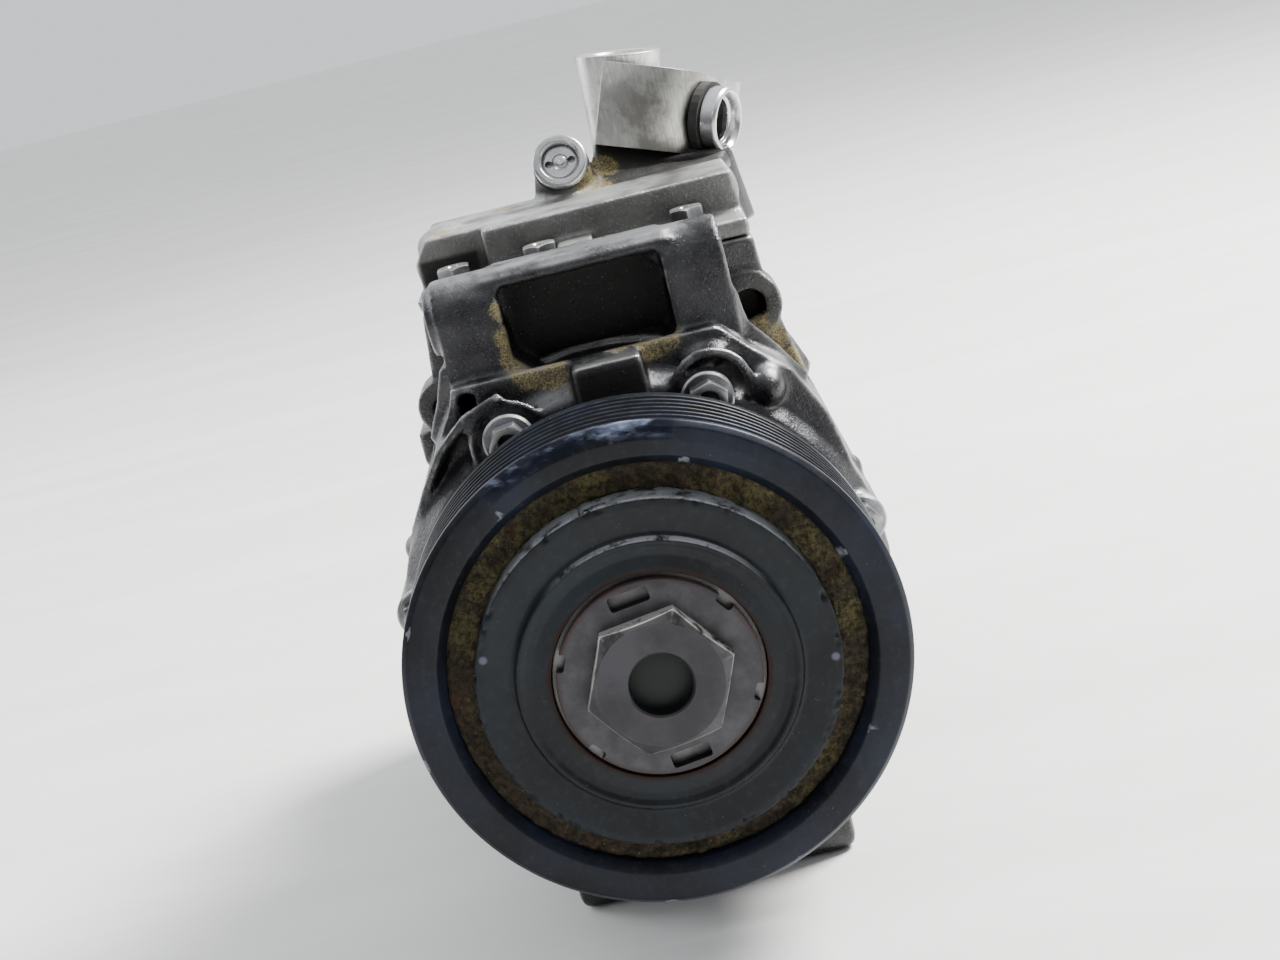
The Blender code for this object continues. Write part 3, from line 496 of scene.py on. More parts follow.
def cast_metal(name, dark, light, grime_places, shades, shine=0.22, grain=0.00030, hollow_shade=0.8):
    """Cast aluminium: sandy grain, a patchy oily film and rubbed edges with painted light on faces turned up,
    a painted sheen on top faces, painted shade in hollows and boxes, and grime.
    """
    paint = Paint(name)
    patches = paint.noise(55, 6, 0.65)
    fine = paint.noise(1500, 3, 0.6)
    sand = paint.noise(3800, 2, 0.5)
    # Painted light: the patchy light tone spreads wider on faces turned up, as if lit from above.
    lit_top = paint.band(paint.facing((0.1, 0.15, 0.98)), 0.25, 0.95)
    tone_shift = paint.times(paint.band(patches, 0.24, 0.66), paint.blend(lit_top, 0.24, 0.95))
    tone = paint.mix(tone_shift, dark, light)
    tone = paint.mix(paint.times(paint.band(fine, 0.52, 0.75), 0.25), tone, light)
    # Rubbed edges, stronger on faces turned up, and a painted sheen on top faces lighten the tone.
    wear_and_highlight = paint.times(paint.edges(0.522, 0.556), paint.band(paint.noise(240, 4), 0.30, 0.6))
    wear_and_highlight = paint.times(wear_and_highlight, paint.blend(lit_top, 0.45, 1.0))
    top_sheen = paint.times(paint.band(paint.facing((0.1, 0.1, 0.99)), 0.62, 0.98), 0.55)
    wear_and_highlight = paint.most(wear_and_highlight, paint.times(top_sheen, paint.band(patches, 0.38, 0.60)))
    tone = paint.mix(paint.times(wear_and_highlight, 0.75), tone, (0.72, 0.73, 0.74))
    # Painted shade: near black in hollows, where other surfaces are near, and inside the shade boxes.
    painted_shade = paint.most(paint.hollows(), paint.band(paint.shut_in(0.008), 0.35, 0.85))
    painted_shade = paint.times(painted_shade, hollow_shade)
    boxes = paint.most(*[paint.inside(low, high) for low, high in shades])
    painted_shade = paint.most(painted_shade, paint.times(boxes, 0.92))
    tone = paint.mix(painted_shade, tone, (0.018, 0.017, 0.016))
    metal = paint.blend(painted_shade, 0.85, 0.1)
    paint.set(Specular_IOR_Level=paint.blend(painted_shade, 0.5, 0.12))
    rough = paint.blend(paint.band(patches, 0.3, 0.7), shine, shine + 0.16)
    rough = paint.blend(wear_and_highlight, rough, 0.26)
    specks = paint.band(paint.noise(2600, 2, 0.5, shift=(3, 1, 2)), 0.70, 0.78)
    tone = paint.mix(paint.times(specks, 0.6), tone, (0.62, 0.60, 0.55))
    # Real grime spots and crumbs near the given places, not shade.
    spots = paint.most(*[paint.near(point, reach) for point, reach in grime_places])
    ragged = paint.times(paint.noise(230, 5, 0.75), 1.2)
    crumbs = paint.times(paint.noise(1300, 4, 0.8), 2.0)
    grime_and_shade = paint.math("ADD", spots, paint.math("ADD", ragged, crumbs))
    grime_and_shade = paint.times(paint.band(grime_and_shade, 2.15, 2.65), 0.85)
    crumb = paint.band(paint.noise(2300, 4, 0.7), 0.38, 0.60)
    tone = paint.mix(grime_and_shade, tone, paint.mix(crumb, (0.075, 0.060, 0.032), (0.36, 0.30, 0.14)))
    metal = paint.blend(grime_and_shade, metal, 0.0)
    rough = paint.blend(grime_and_shade, rough, 0.9)
    height = paint.math("ADD", paint.times(fine, 0.7), paint.times(sand, 0.4))
    paint.set(Base_Color=tone, Metallic=metal, Roughness=rough, Normal=paint.bump(height, grain, 0.8))
    return paint.material


def machined_metal(name, dark, light, stain):
    """Milled aluminium with straight tool marks along Z, stains, and painted shade where other surfaces are
    near.
    """
    paint = Paint(name)
    marks = paint.noise(60, 5, 0.7, stretch=(30, 30, 0.8))
    stains = paint.noise(75, 5, 0.7)
    tone = paint.mix(paint.band(marks, 0.3, 0.7), dark, light)
    tone = paint.mix(paint.times(paint.band(stains, 0.44, 0.62), 0.75), tone, stain)
    wear = paint.edges(0.52, 0.58)
    tone = paint.mix(paint.times(wear, 0.6), tone, (0.85, 0.85, 0.84))
    # Painted shade: darker where other surfaces are near.
    grime_and_shade = paint.band(paint.shut_in(0.004), 0.3, 0.8)
    tone = paint.mix(paint.times(grime_and_shade, 0.6), tone, (0.04, 0.035, 0.03))
    rough = paint.blend(marks, 0.26, 0.46)
    paint.set(Base_Color=tone, Metallic=0.85, Roughness=rough, Normal=paint.bump(marks, 0.00006, 0.6))
    return paint.material


def coated(name, base, high_rough=0.5, low_rough=0.24, dust=0.5, blue=(0.010, 0.013, 0.024)):
    """Black coating with a bluish film, dust specks and scuffs."""
    paint = Paint(name)
    film = paint.noise(38, 5, 0.6)
    scuff = paint.noise(420, 5, 0.7)
    tone = paint.mix(paint.band(film, 0.35, 0.7), base, blue)
    haze = paint.times(paint.band(scuff, 0.48, 0.75), 0.35)
    tone = paint.mix(haze, tone, (0.030, 0.032, 0.035))
    specks = paint.band(paint.cells(900), 0.10, 0.04)
    chosen = paint.band(paint.noise(160, 2, 0.5), 0.56, 0.66)
    specks = paint.times(specks, paint.times(chosen, dust))
    tone = paint.mix(specks, tone, (0.45, 0.43, 0.38))
    rough = paint.blend(scuff, low_rough, high_rough)
    rough = paint.blend(specks, rough, 0.9)
    paint.set(Base_Color=tone, Roughness=rough, Metallic=0.0, Normal=paint.bump(scuff, 0.00006, 0.5))
    paint.set(Specular_IOR_Level=0.16)
    return paint


def steel(name, dark, light, rough, rust, metallic=0.9, hole=0, wear=0.0):
    """Turned steel: mottled, freckled with rust, painted shade near other surfaces, worn at edges with a
    painted glint on edges facing up, and painted shade with oil inside a hole round the shaft axis.
    """
    paint = Paint(name)
    mottle = paint.noise(70, 6, 0.62)
    fine = paint.noise(1800, 3, 0.5)
    tone = paint.mix(paint.band(mottle, 0.34, 0.68), dark, light)
    freckles = paint.band(paint.noise(520, 4, 0.65), 0.60, 0.72)
    tone = paint.mix(paint.times(freckles, rust), tone, (0.10, 0.045, 0.025))
    # Painted shade: darker where other surfaces are near.
    grime_and_shade = paint.band(paint.shut_in(0.003), 0.35, 0.9)
    tone = paint.mix(paint.times(grime_and_shade, 0.65), tone, (0.03, 0.026, 0.024))
    roughness = paint.blend(mottle, rough - 0.08, rough + 0.16)
    if wear:
        # Worn edges, with a painted glint that grows on edges facing up.
        wear_and_glint = paint.times(paint.edges(0.515, 0.57), paint.band(paint.noise(320, 4), 0.3, 0.55))
        lit_top = paint.band(paint.facing((0, 0, 1)), -0.1, 0.5)
        wear_and_glint = paint.times(wear_and_glint, paint.blend(lit_top, 0.15, wear))
        if hole:
            wear_and_glint = paint.times(wear_and_glint, paint.band(paint.from_shaft(), hole + 1.5, hole + 4))
        tone = paint.mix(wear_and_glint, tone, (0.80, 0.79, 0.75))
    if hole:
        # Painted shade and oil darken the inside of the hole.
        hole_shade_and_grime = paint.times(paint.band(paint.from_shaft(), hole + 0.1, hole - 0.1), 0.93)
        tone = paint.mix(hole_shade_and_grime, tone, (0.020, 0.024, 0.022))
        roughness = paint.blend(hole_shade_and_grime, roughness, 0.6)
    paint.set(Base_Color=tone, Metallic=metallic, Roughness=roughness, Normal=paint.bump(fine, 0.00005, 0.4))
    return paint.material


def rim_coating():
    """Black coating with worn edges, and bluish fractures where the mesh's chip value is high."""
    paint = coated("pulley_coating", (0.004, 0.0045, 0.006))
    tone, rough = paint.current("Base Color"), paint.current("Roughness")
    wear = paint.times(paint.edges(0.515, 0.56), paint.band(paint.noise(300, 4), 0.42, 0.62))
    tone = paint.mix(paint.times(wear, 0.45), tone, (0.30, 0.32, 0.36))
    chipped = paint.node("ShaderNodeAttribute", attribute_name="chip").outputs["Fac"]
    streak = paint.noise(120, 5, 0.6, stretch=(1, 2, 3))
    fracture = paint.mix(paint.band(streak, 0.46, 0.68), (0.007, 0.009, 0.018), (0.16, 0.19, 0.28))
    tone = paint.mix(chipped, tone, fracture)
    paint.set(Base_Color=tone, Roughness=paint.blend(chipped, rough, 0.22))
    return paint.material


def grime_paint():
    """Crumbly olive and brown dirt packed into the groove behind the rim."""
    paint = Paint("packed_grime")
    large = paint.noise(62, 6, 0.72)
    crumbs = paint.noise(800, 6, 0.8)
    tone = paint.mix(paint.band(crumbs, 0.36, 0.66), (0.008, 0.0065, 0.005), (0.050, 0.036, 0.018))
    # Fewer olive patches, so darker, towards the lower left.
    tone_shift = paint.near((-30, 4, -30), 62, 0.9)
    tone_shift = paint.times(tone_shift, 0.85)
    olive = paint.math("SUBTRACT", paint.band(large, 0.44, 0.60), tone_shift, clamp=True)
    olive = paint.times(olive, paint.band(crumbs, 0.38, 0.62))
    tone = paint.mix(olive, tone, (0.105, 0.094, 0.032))
    rust = paint.band(paint.noise(110, 5, 0.7, shift=(2, 5, 1)), 0.56, 0.70)
    tone = paint.mix(paint.times(rust, 0.5), tone, (0.070, 0.034, 0.016))
    bright = paint.band(paint.noise(1500, 3, 0.6), 0.66, 0.76)
    tone = paint.mix(paint.times(bright, 0.6), tone, (0.36, 0.31, 0.14))
    paint.set(Base_Color=tone, Roughness=0.95, Normal=paint.bump(crumbs, 0.0006, 0.9))
    return paint.material


def plate_steel():
    """Hub plate: grey steel with a ring of rust at its edge."""
    paint = Paint("plate_steel")
    mottle = paint.noise(140, 6, 0.65)
    tone = paint.mix(paint.band(mottle, 0.35, 0.68), (0.034, 0.033, 0.037), (0.055, 0.055, 0.060))
    rust = paint.math("ADD", paint.from_shaft(), paint.times(mottle, 2.4))
    rust = paint.band(rust, 21.9, 23.6)
    tone = paint.mix(rust, tone, (0.035, 0.017, 0.014))
    # Painted shade: darker where other surfaces are near.
    grime_and_shade = paint.band(paint.shut_in(0.003), 0.3, 0.85)
    tone = paint.mix(paint.times(grime_and_shade, 0.7), tone, (0.03, 0.02, 0.018))
    paint.set(Base_Color=tone, Metallic=paint.blend(rust, 0.75, 0.1), Roughness=paint.blend(rust, 0.46, 0.85))
    paint.set(Normal=paint.bump(paint.noise(1500, 3), 0.00006, 0.5))
    return paint.material


def damper_coating():
    """Black moulding with a rusty band inside, and painted highlights on worn spots of its upper outer corner
    and lip.
    """
    paint = coated("damper_moulding", (0.006, 0.0065, 0.008), 0.50, 0.30, 0.35, (0.010, 0.014, 0.018))
    tone, rough = paint.current("Base Color"), paint.current("Roughness")
    radius = paint.from_shaft()
    wobble = paint.math("ADD", radius, paint.times(paint.noise(150, 5, 0.7), 1.6))
    rust = paint.band(wobble, 25.2, 24.0)
    tone = paint.mix(rust, tone, (0.022, 0.013, 0.011))
    # Painted highlights: worn spots of the upper outer corner and the lip are lightened, only on top.
    top_highlight_zone = paint.near((3, -2, 40), 46, 0.55)
    corner = paint.times(paint.hoop(radius, 38.8, 39.8, 0.3), top_highlight_zone)
    lip = paint.times(paint.hoop(radius, 30.0, 31.0, 0.3), paint.near((6, -3, 32), 30, 0.7))
    wear_and_highlight = paint.times(paint.most(corner, lip), paint.band(paint.noise(210, 6, 0.75), 0.36, 0.52))
    tone = paint.mix(paint.times(wear_and_highlight, 0.65), tone, (0.34, 0.36, 0.38))
    notches = paint.most(paint.near((37.1, -2.8, -5.0), 1.2), paint.near((-35.4, -2.8, 12.4), 1.2))
    tone = paint.mix(paint.times(notches, 0.5), tone, (0.16, 0.16, 0.22))
    paint.set(Base_Color=tone, Roughness=paint.blend(rust, rough, 0.85))
    return paint.material


def rubber_paint():
    paint = Paint("dull_rubber")
    dust = paint.noise(300, 5, 0.7)
    paint.set(Base_Color=paint.mix(dust, (0.010, 0.010, 0.010), (0.045, 0.042, 0.040)), Roughness=0.85)
    paint.set(Normal=paint.bump(paint.noise(1300, 3), 0.00008, 0.6))
    return paint.material


def floor_paint():
    paint = Paint("pale_floor")
    streaks = paint.noise(3.5, 5, 0.6, stretch=(1, 6, 1))
    tone = paint.mix(paint.band(streaks, 0.35, 0.7), (0.83, 0.825, 0.81), (0.90, 0.90, 0.89))
    paint.set(Base_Color=tone, Roughness=0.6, Normal=paint.bump(paint.noise(220, 4), 0.0001, 0.3))
    return paint.material


# Where dirt gathers, as a point of the shaft frame and a reach, both in millimetres.
WINDOW_GRIME = (
    ((-17.2, 48, 69), 4.5), ((-16.8, 47.5, 64), 5.5), ((-14.5, 46, 60), 7.5), ((-9, 45, 59), 7.0),
    ((-17, 48, 75), 4.0), ((14, 45, 60), 6.5), ((18, 46, 60), 6.5), ((7, 46, 61), 5.5),
)
EAR_GRIME = (
    ((35, 58, 60), 5.5), ((38, 62, 55), 7.0), ((39, 72, 53), 7.5), ((44, 72, 48), 7.0), ((47, 74, 42), 6.0),
)
COVER_GRIME = (((-14, 118, 89), 7.0), ((9, 116, 89), 9.0), ((13, 124, 93), 7.0), ((-30, 100, 88), 5.0))

# Painted shadow: places darkened for the shade that falls there, as the low and high corners of boxes of the
# shaft frame.
WINDOW_SHADE = (((-17.6, 50.5, 52), (21.5, 75, 80.4)), ((-4.4, 30, 47), (12.4, 37.2, 59.5)))
COVER_SHADE = (
    ((-13, 100, 89.6), (12, 130, 99)), ((11, 114, 85), (48, 160, 100)), ((-38, 80, 66), (-21.5, 104.5, 84)),
)
HOUSING = cast_metal(
    "housing_casting", (0.016, 0.016, 0.018), (0.19, 0.19, 0.195), WINDOW_GRIME + EAR_GRIME, WINDOW_SHADE,
)
BLOCK = cast_metal(
    "block_casting", (0.04, 0.04, 0.04), (0.24, 0.24, 0.24), EAR_GRIME + COVER_GRIME, COVER_SHADE,
)
# Painted light: the cover's tones are lighter than the other castings' for the light on its sloping top.
COVER = cast_metal(
    "cover_casting", (0.115, 0.115, 0.11), (0.50, 0.50, 0.48), COVER_GRIME, COVER_SHADE, 0.36, 0.0004, 0.7,
)
MACHINED = machined_metal("machined_block", (0.29, 0.29, 0.27), (0.48, 0.48, 0.45), (0.13, 0.12, 0.10))
# Painted light: the tower's tones are lighter than the block's for the strong light on it.
TOWER = machined_metal("machined_tower", (0.42, 0.42, 0.41), (0.74, 0.74, 0.73), (0.30, 0.28, 0.24))
RIM = rim_coating()
DAMPER = damper_coating()
GRIME = grime_paint()
PLATE = plate_steel()
NUT = steel("nut_steel", (0.029, 0.028, 0.032), (0.052, 0.050, 0.056), 0.42, 0.30, 0.8, hole=6.95, wear=1.0)
BOLT = steel("bolt_steel_dirty", (0.09, 0.09, 0.095), (0.30, 0.31, 0.33), 0.30, 0.3, wear=0.8)
BRIGHT = steel("bright_steel_turned", (0.38, 0.38, 0.385), (0.66, 0.66, 0.67), 0.22, 0.08)
GROUND = steel("ground_steel_fine", (0.40, 0.40, 0.42), (0.60, 0.60, 0.62), 0.24, 0.05)
SPRING = steel("spring_steel_blued", (0.10, 0.11, 0.14), (0.24, 0.26, 0.30), 0.32, 0.05)
IRON = steel("iron_machined", (0.07, 0.07, 0.07), (0.19, 0.19, 0.19), 0.48, 0.2, 0.75)
BRASS = steel("brass_turned", (0.42, 0.30, 0.10), (0.60, 0.46, 0.19), 0.30, 0.05)
PISTON = machined_metal("piston_aluminium", (0.33, 0.33, 0.32), (0.62, 0.62, 0.60), (0.22, 0.21, 0.19))
RUBBER = rubber_paint()
MOULDING = coated("black_plastic", (0.012, 0.012, 0.013), 0.55, 0.36, 0.4).material


# ---- pulley and hub ----


def pulley_rim():
    """Grooved rim with its cupped web and hub, and a run of chips broken out of its front corner."""
    grooves, pitch, depth, start = 6, 3.56, 2.5, 2.4
    outline = [(RIM_R, 26.5)]
    for index in reversed(range(grooves)):
        front = start + index * pitch
        outline.append((RIM_R, front + pitch * 0.90))
        outline.append((RIM_R - depth, front + pitch * 0.56))
        outline.append((RIM_R - depth, front + pitch * 0.44))
        outline.append((RIM_R, front + pitch * 0.10))
    outline += [
        (RIM_R, 1.2), (RIM_R - 1.2, 0.05), (50.6, 0.0), (47.4, 0.25), (45.4, 2.4), (45.4, 12.0), (31.0, 12.0),
        (31.0, 6.5), (27.8, 6.5), (27.8, 25.0), (31.0, 25.0), (31.0, 17.0), (48.5, 17.0), (48.5, 26.5),
    ]
    item = lathe("pulley_rim_worn", outline, "drive", RIM, radius=0.35, segments=360, angle=50)
    marks = item.data.attributes.new("chip", "FLOAT", "POINT")
    first_angle, last_angle, chip_r = -31, 17, 51.6
    for vert in item.data.vertices:
        local = in_shaft_frame(vert.co)
        radius = math.hypot(local.x, local.z)
        angle = math.degrees(math.atan2(local.x, local.z))
        inside = min(1, max(0, (angle - first_angle) / 7)) * min(1, max(0, (last_angle - angle) / 5))
        ragged = noise.noise(Vector((angle * 0.22, 0, 3.1))) * 1.6
        ragged += noise.noise(Vector((angle, 2, 0))) * 0.5
        edge = chip_r + ragged
        if inside <= 0 or radius < edge or local.y > start:
            continue
        sink = inside * min(1, (radius - edge) / 1.5)
        rough = 0.5 + 0.5 * noise.noise(local * 0.55)
        vert.co.y += sink * (0.5 + 0.9 * rough) * MM * max(0, 1 - local.y / start)
        vert.co -= outward(local) * sink * 0.35 * rough * MM
        marks.data[vert.index].value = min(1, sink * 1.6)
    stand_in("pulley_rim")


def packed_grime():
    """Dirt that fills the gap between rim and damper, lumpy on its front face."""
    front_end = 9
    outline = [
        (45.9, 12.4), (45.9, 4.2), (44.6, 4.0), (43.0, 4.6),
        (41.2, 4.6), (39.8, 4.0), (39.1, 4.4), (39.1, 12.4),
    ]
    item = lathe("groove_grime", outline, "drive", GRIME, radius=0.8, segments=480)
    for vert in item.data.vertices:
        local = in_shaft_frame(vert.co)
        if local.y > front_end:
            continue
        lumps = noise.fractal(local * 0.35, 0.8, 2.1, 4)
        grains = noise.noise(local * 1.7)
        vert.co.y += (lumps * 0.9 + grains * 0.35) * MM


def damper_ring():
    """Stepped moulding round the hub, with nicks in its outer corner."""
    corner_r, corner_y = 38.3, -1.5
    outline = [
        (39.3, 8.0), (39.3, -2.3), (38.9, -2.8), (37.4, -2.75), (31.6, -1.9),
        (30.9, -2.2), (30.3, -3.4), (29.5, -3.4), (28.6, -2.9), (26.8, -2.7),
        (24.2, -3.1), (23.0, -3.2), (23.0, 4.5), (31.6, 5.5), (32.2, 8.0),
    ]
    item = lathe("damper_ring_worn", outline, "drive", DAMPER, radius=0.3, segments=360, angle=60)
    for vert in item.data.vertices:
        local = in_shaft_frame(vert.co)
        if local.y > corner_y or math.hypot(local.x, local.z) < corner_r:
            continue
        nick = max(0, noise.noise(local * 0.9) - 0.22) * 2.2
        vert.co.y += nick * 0.8 * MM
        vert.co -= outward(local) * nick * 0.5 * MM
    stand_in("damper_ring")


def limiter_plate():
    """Ring round the nut with two wide slots and four small notches."""
    outline = [(22.0, -2.2), (22.0, -4.2), (12.5, -4.2), (12.5, -2.2)]
    item = lathe("limiter_plate_rusty", outline, "drive", PLATE, radius=0.3, segments=240)

    def slots(form):
        for index in range(6):
            half, height, centre = (4.4, 3.4, 18.8) if index % 3 == 0 else (2.0, 2.4, 21.6)
            turn = Matrix.Rotation(math.radians(-7.5 + 60 * index), 4, "Y")
            size = Matrix.Diagonal((2 * half * MM, 4 * MM, height * MM, 1))
            place = Matrix.Translation(SHAFT + Vector((0, -3.2 * MM, 0))) @ turn
            place = place @ Matrix.Translation((0, 0, centre * MM)) @ size
            bmesh.ops.create_cube(form, size=1, matrix=place)

    tool = cutter("plate_slots", slots)
    modify(tool, "BEVEL", width=0.0007, segments=3, limit_method="ANGLE", angle_limit=math.radians(60))
    carve(item, tool)
    shade(item.data, 30)
    stand_in("limiter_plate")


def hub_back():
    """Dark wall that closes the gaps seen through the plate's slots."""
    outline = [(22.8, -1.2), (22.8, -1.9), (12.3, -1.9), (12.3, -1.2)]
    item = lathe("hub_back_wall", outline, "drive", IRON, radius=0.1, segments=96)


def hex_ring(form, place, across, chamfer_r, face, slope, segments=360, phase=0.0):
    """Two rings of points for a chamfered hexagon: where the chamfer starts and the six-sided edge."""
    inner, outer = [], []
    flat = across / 2 * math.cos(math.radians(30))
    for step in range(segments):
        angle = 360 * step / segments
        side = (angle - phase) % 60 - 30
        reach = flat / math.cos(math.radians(side))
        turn = math.radians(angle)
        for ring, radius in ((inner, min(chamfer_r, reach)), (outer, reach)):
            height = face + max(0, radius - chamfer_r) * slope
            spot = Vector((radius * math.sin(turn), height, radius * math.cos(turn))) * MM
            ring.append(form.verts.new(place @ spot))
    return inner, outer


def ring_at(form, place, radius, height, segments=360):
    """A ring of points about +Y of a frame, at a height along it in millimetres."""
    ring = []
    for step in range(segments):
        turn = 2 * math.pi * step / segments
        spot = Vector((radius * math.sin(turn), height, radius * math.cos(turn))) * MM
        ring.append(form.verts.new(place @ spot))
    return ring


def bridge(form, first, second):
    """Faces between two rings of as many points."""
    count = len(first)
    for step in range(count):
        after = (step + 1) % count
        form.faces.new((first[step], first[after], second[after], second[step]))


def skin(form, rings):
    """Closes a row of rings into one body."""
    for first, second in zip(rings, rings[1:]):
        bridge(form, first, second)
    form.faces.new(rings[0])
    form.faces.new(rings[-1])


def lowered(form, place, ring, height):
    """A copy of a ring moved to a height along the piece's axis."""
    back = place.inverted()
    result = []
    for vert in ring:
        spot = back @ vert.co
        spot.y = height * MM
        result.append(form.verts.new(place @ spot))
    return result


def hub_nut():
    """Chamfered hexagon with the shaft's end sunk in its hole. Close rings keep the worn edges narrow."""
    face, edge_width = -8.5, 0.35
    form = bmesh.new()
    place = Matrix.Translation(SHAFT)
    inner, outer = hex_ring(form, place, 33, 13.6, face, 0.55, phase=22)
    hole = ((6.2, -5.1), (6.6, -5.0), (6.85, -5.0), (6.85, -8.1), (7.3, face), (7.8, face), (13.1, face))
    loops = [ring_at(form, place, radius, height) for radius, height in hole]
    near_edge = [
        form.verts.new(end.co.lerp(start.co, edge_width * MM / (start.co - end.co).length))
        for start, end in zip(inner, outer)
    ]
    skin(form, [*loops, inner, near_edge, outer, lowered(form, place, outer, -4.2)])
    item = link("hub_nut_chamfered", shade(mesh_of("hub_nut_chamfered", form), 25), NUT)
    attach(item, "drive")
    stand_in("hub_nut")


# ---- bolts and the relief valve ----


def bolt_head(name, node, place, across, flange_r, height, recess_r):
    """Flanged hexagon head with a round recess. The place maps +Y to the way into the metal."""
    segments = 72
    form = bmesh.new()

    def ring(radius, level):
        return ring_at(form, place, radius, level, segments)

    inner, outer = hex_ring(form, place, across, across * 0.42, -height, 0.5, segments=segments)
    foot = lowered(form, place, outer, -1.5)
    flange = [ring(flange_r - 0.5, -1.35), ring(flange_r, -0.8), ring(flange_r, 0.3)]
    recess = [ring(recess_r - inset, -height + depth) for inset, depth in ((0.4, 2.8), (0.25, 0.3), (0, 0))]
    skin(form, [*recess, inner, outer, foot, *flange])
    item = link(name, shade(mesh_of(name, form), 32), BOLT)
    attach(item, "casing")
    stand_in(node)


def all_bolts():
    """Seven bolts clamp the castings along the shaft, and three hold the top cover down."""
    through_seat, through_sizes = 37.7, (9.6, 6.1, 5.6, 2.7)
    for number in range(1, 8):
        low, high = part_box(f"through_bolt_{number}")
        centre = Vector(((low.x + high.x) / 2, SHAFT.y + through_seat * MM, (low.z + high.z) / 2))
        place = Matrix.Translation(centre) @ Matrix.Rotation(math.radians(12 * number), 4, "Y")
        bolt_head(f"through_bolt_head_{number}", f"through_bolt_{number}", place, *through_sizes)
    cover_height = 4.2
    for number in range(1, 4):
        low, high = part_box(f"cover_bolt_{number}")
        centre = Vector(((low.x + high.x) / 2, (low.y + high.y) / 2, high.z - cover_height * MM))
        place = Matrix.Translation(centre) @ Matrix.Rotation(math.radians(-90), 4, "X")
        bolt_head(f"cover_bolt_head_{number}", f"cover_bolt_{number}", place, 9.0, 5.0, cover_height, 1.4)


def relief_valve():
    """Turned ring with a disc inside that has two small holes. It looks forward and up."""
    rise = math.radians(28)
    stand = stand_at(at(2.5, 112, 98.2), Vector((0, -math.cos(rise), math.sin(rise))))
    ring = [(7.0, 2.8), (7.0, 0.5), (6.5, 0.0), (5.3, 0.0), (4.7, 0.7), (4.7, 2.8)]
    item = lathe("relief_valve_ring", ring, "casing", BRIGHT, 0.25, 96, stand)
    stand_in("relief_valve")
    disc = [
        (4.72, 3.6), (4.72, 1.9), (3.9, 1.6), (2.2, 1.7),
        (1.6, 0.9), (0.9, 0.6), (0.001, 0.6), (0.001, 3.6),
    ]
    centre = lathe("relief_valve_disc", disc, "casing", BRIGHT, 0.2, 96, stand)

    def holes(form):
        for side in (-3.0, 3.0):
            spot = stand @ Matrix.Translation((side * MM, 1.8 * MM, 0)) @ aim((0, 1, 0))
            add_plug(form, spot, 0.0010, 0.0030, 20)

    carve(centre, cutter("relief_holes", holes))
    shade(centre.data)
    stand_in("relief_valve_insert")


def port_sleeve():
    """Steel sleeve in the port, turned with a rolled lip and a stepped bore."""
    low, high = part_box("port_sleeve")
    axis = Vector((0.8367, -0.4963, -0.2316)).normalized()
    outline = [
        (8.8, 4.6), (8.8, 0.9), (8.2, 0.1), (7.6, 0.0), (7.2, 0.5),
        (6.7, 1.4), (6.5, 2.6), (5.7, 3.0), (5.7, 4.6),
    ]
    stand = stand_at((low + high) / 2 + axis * 2.35 * MM, axis)
    item = lathe("port_sleeve_turned", outline, "casing", BRIGHT, 0.3, 96, stand)
    stand_in("port_sleeve")


def port_block():
    """Milled block with a front face that curves round to the port."""
    lie = Matrix.Rotation(math.radians(19.5), 4, "Y") @ Matrix.Rotation(math.radians(-7), 4, "X")
    stand = Matrix.Translation(at(32.5, 138, 101)) @ lie
    left, right, back, front, half_height = -18.4, 20.5, 17.3, -13.0, 10.7
    corner, bend, tangent, steps = Vector((3.0, front)), math.radians(60), 8.4, 12
    radius = tangent / math.tan(bend / 2)
    plan = [Vector((left, back)), Vector((left, front))]
    for step in range(steps + 1):
        turn = bend * step / steps
        plan.append(corner + Vector((-tangent + radius * math.sin(turn), radius * (1 - math.cos(turn)))))
    plan.append(Vector((right, back)))
    form = bmesh.new()
    rings = []
    for height in (-half_height, half_height):
        rings.append([form.verts.new(stand @ (Vector((point.x, point.y, height)) * MM)) for point in plan])
    skin(form, rings)
    item = link("port_block_milled", mesh_of("port_block_milled", form), MACHINED)

    def hole(form):
        axis = Vector((math.sin(bend), -math.cos(bend), 0))
        seat = Vector((9.7, -1.4, -0.8))
        place = stand @ Matrix.Translation((seat - axis * 5) * MM) @ aim(axis)
        add_plug(form, place, 0.0055, 0.016, 40)

    carve(item, cutter("port_bore", hole))
    modify(item, "BEVEL", width=0.0005, segments=3, limit_method="ANGLE", angle_limit=math.radians(40))
    baked(item)
    shade(item.data, 50)
    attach(item, "casing")
    stand_in("port_block")


def port_tower():
    """Upright boss behind the block, with a blind bore from its top. It leans and widens upward."""
    foot, top = at(20.0, 141, 95), at(23.4, 141, 119)
    stand = stand_at(top, (top - foot).normalized())
    outline = [
        (9.0, 24.2), (10.1, 12.0), (11.5, 0.2), (11.2, 0.0), (7.0, 0.0),
        (6.2, 0.8), (6.2, 16.0), (0.001, 17.5), (0.001, 24.2),
    ]
    item = lathe("port_tower_turned", outline, "casing", TOWER, 0.3, 128, stand)
    stand_in("port_block")


# ---- castings ----


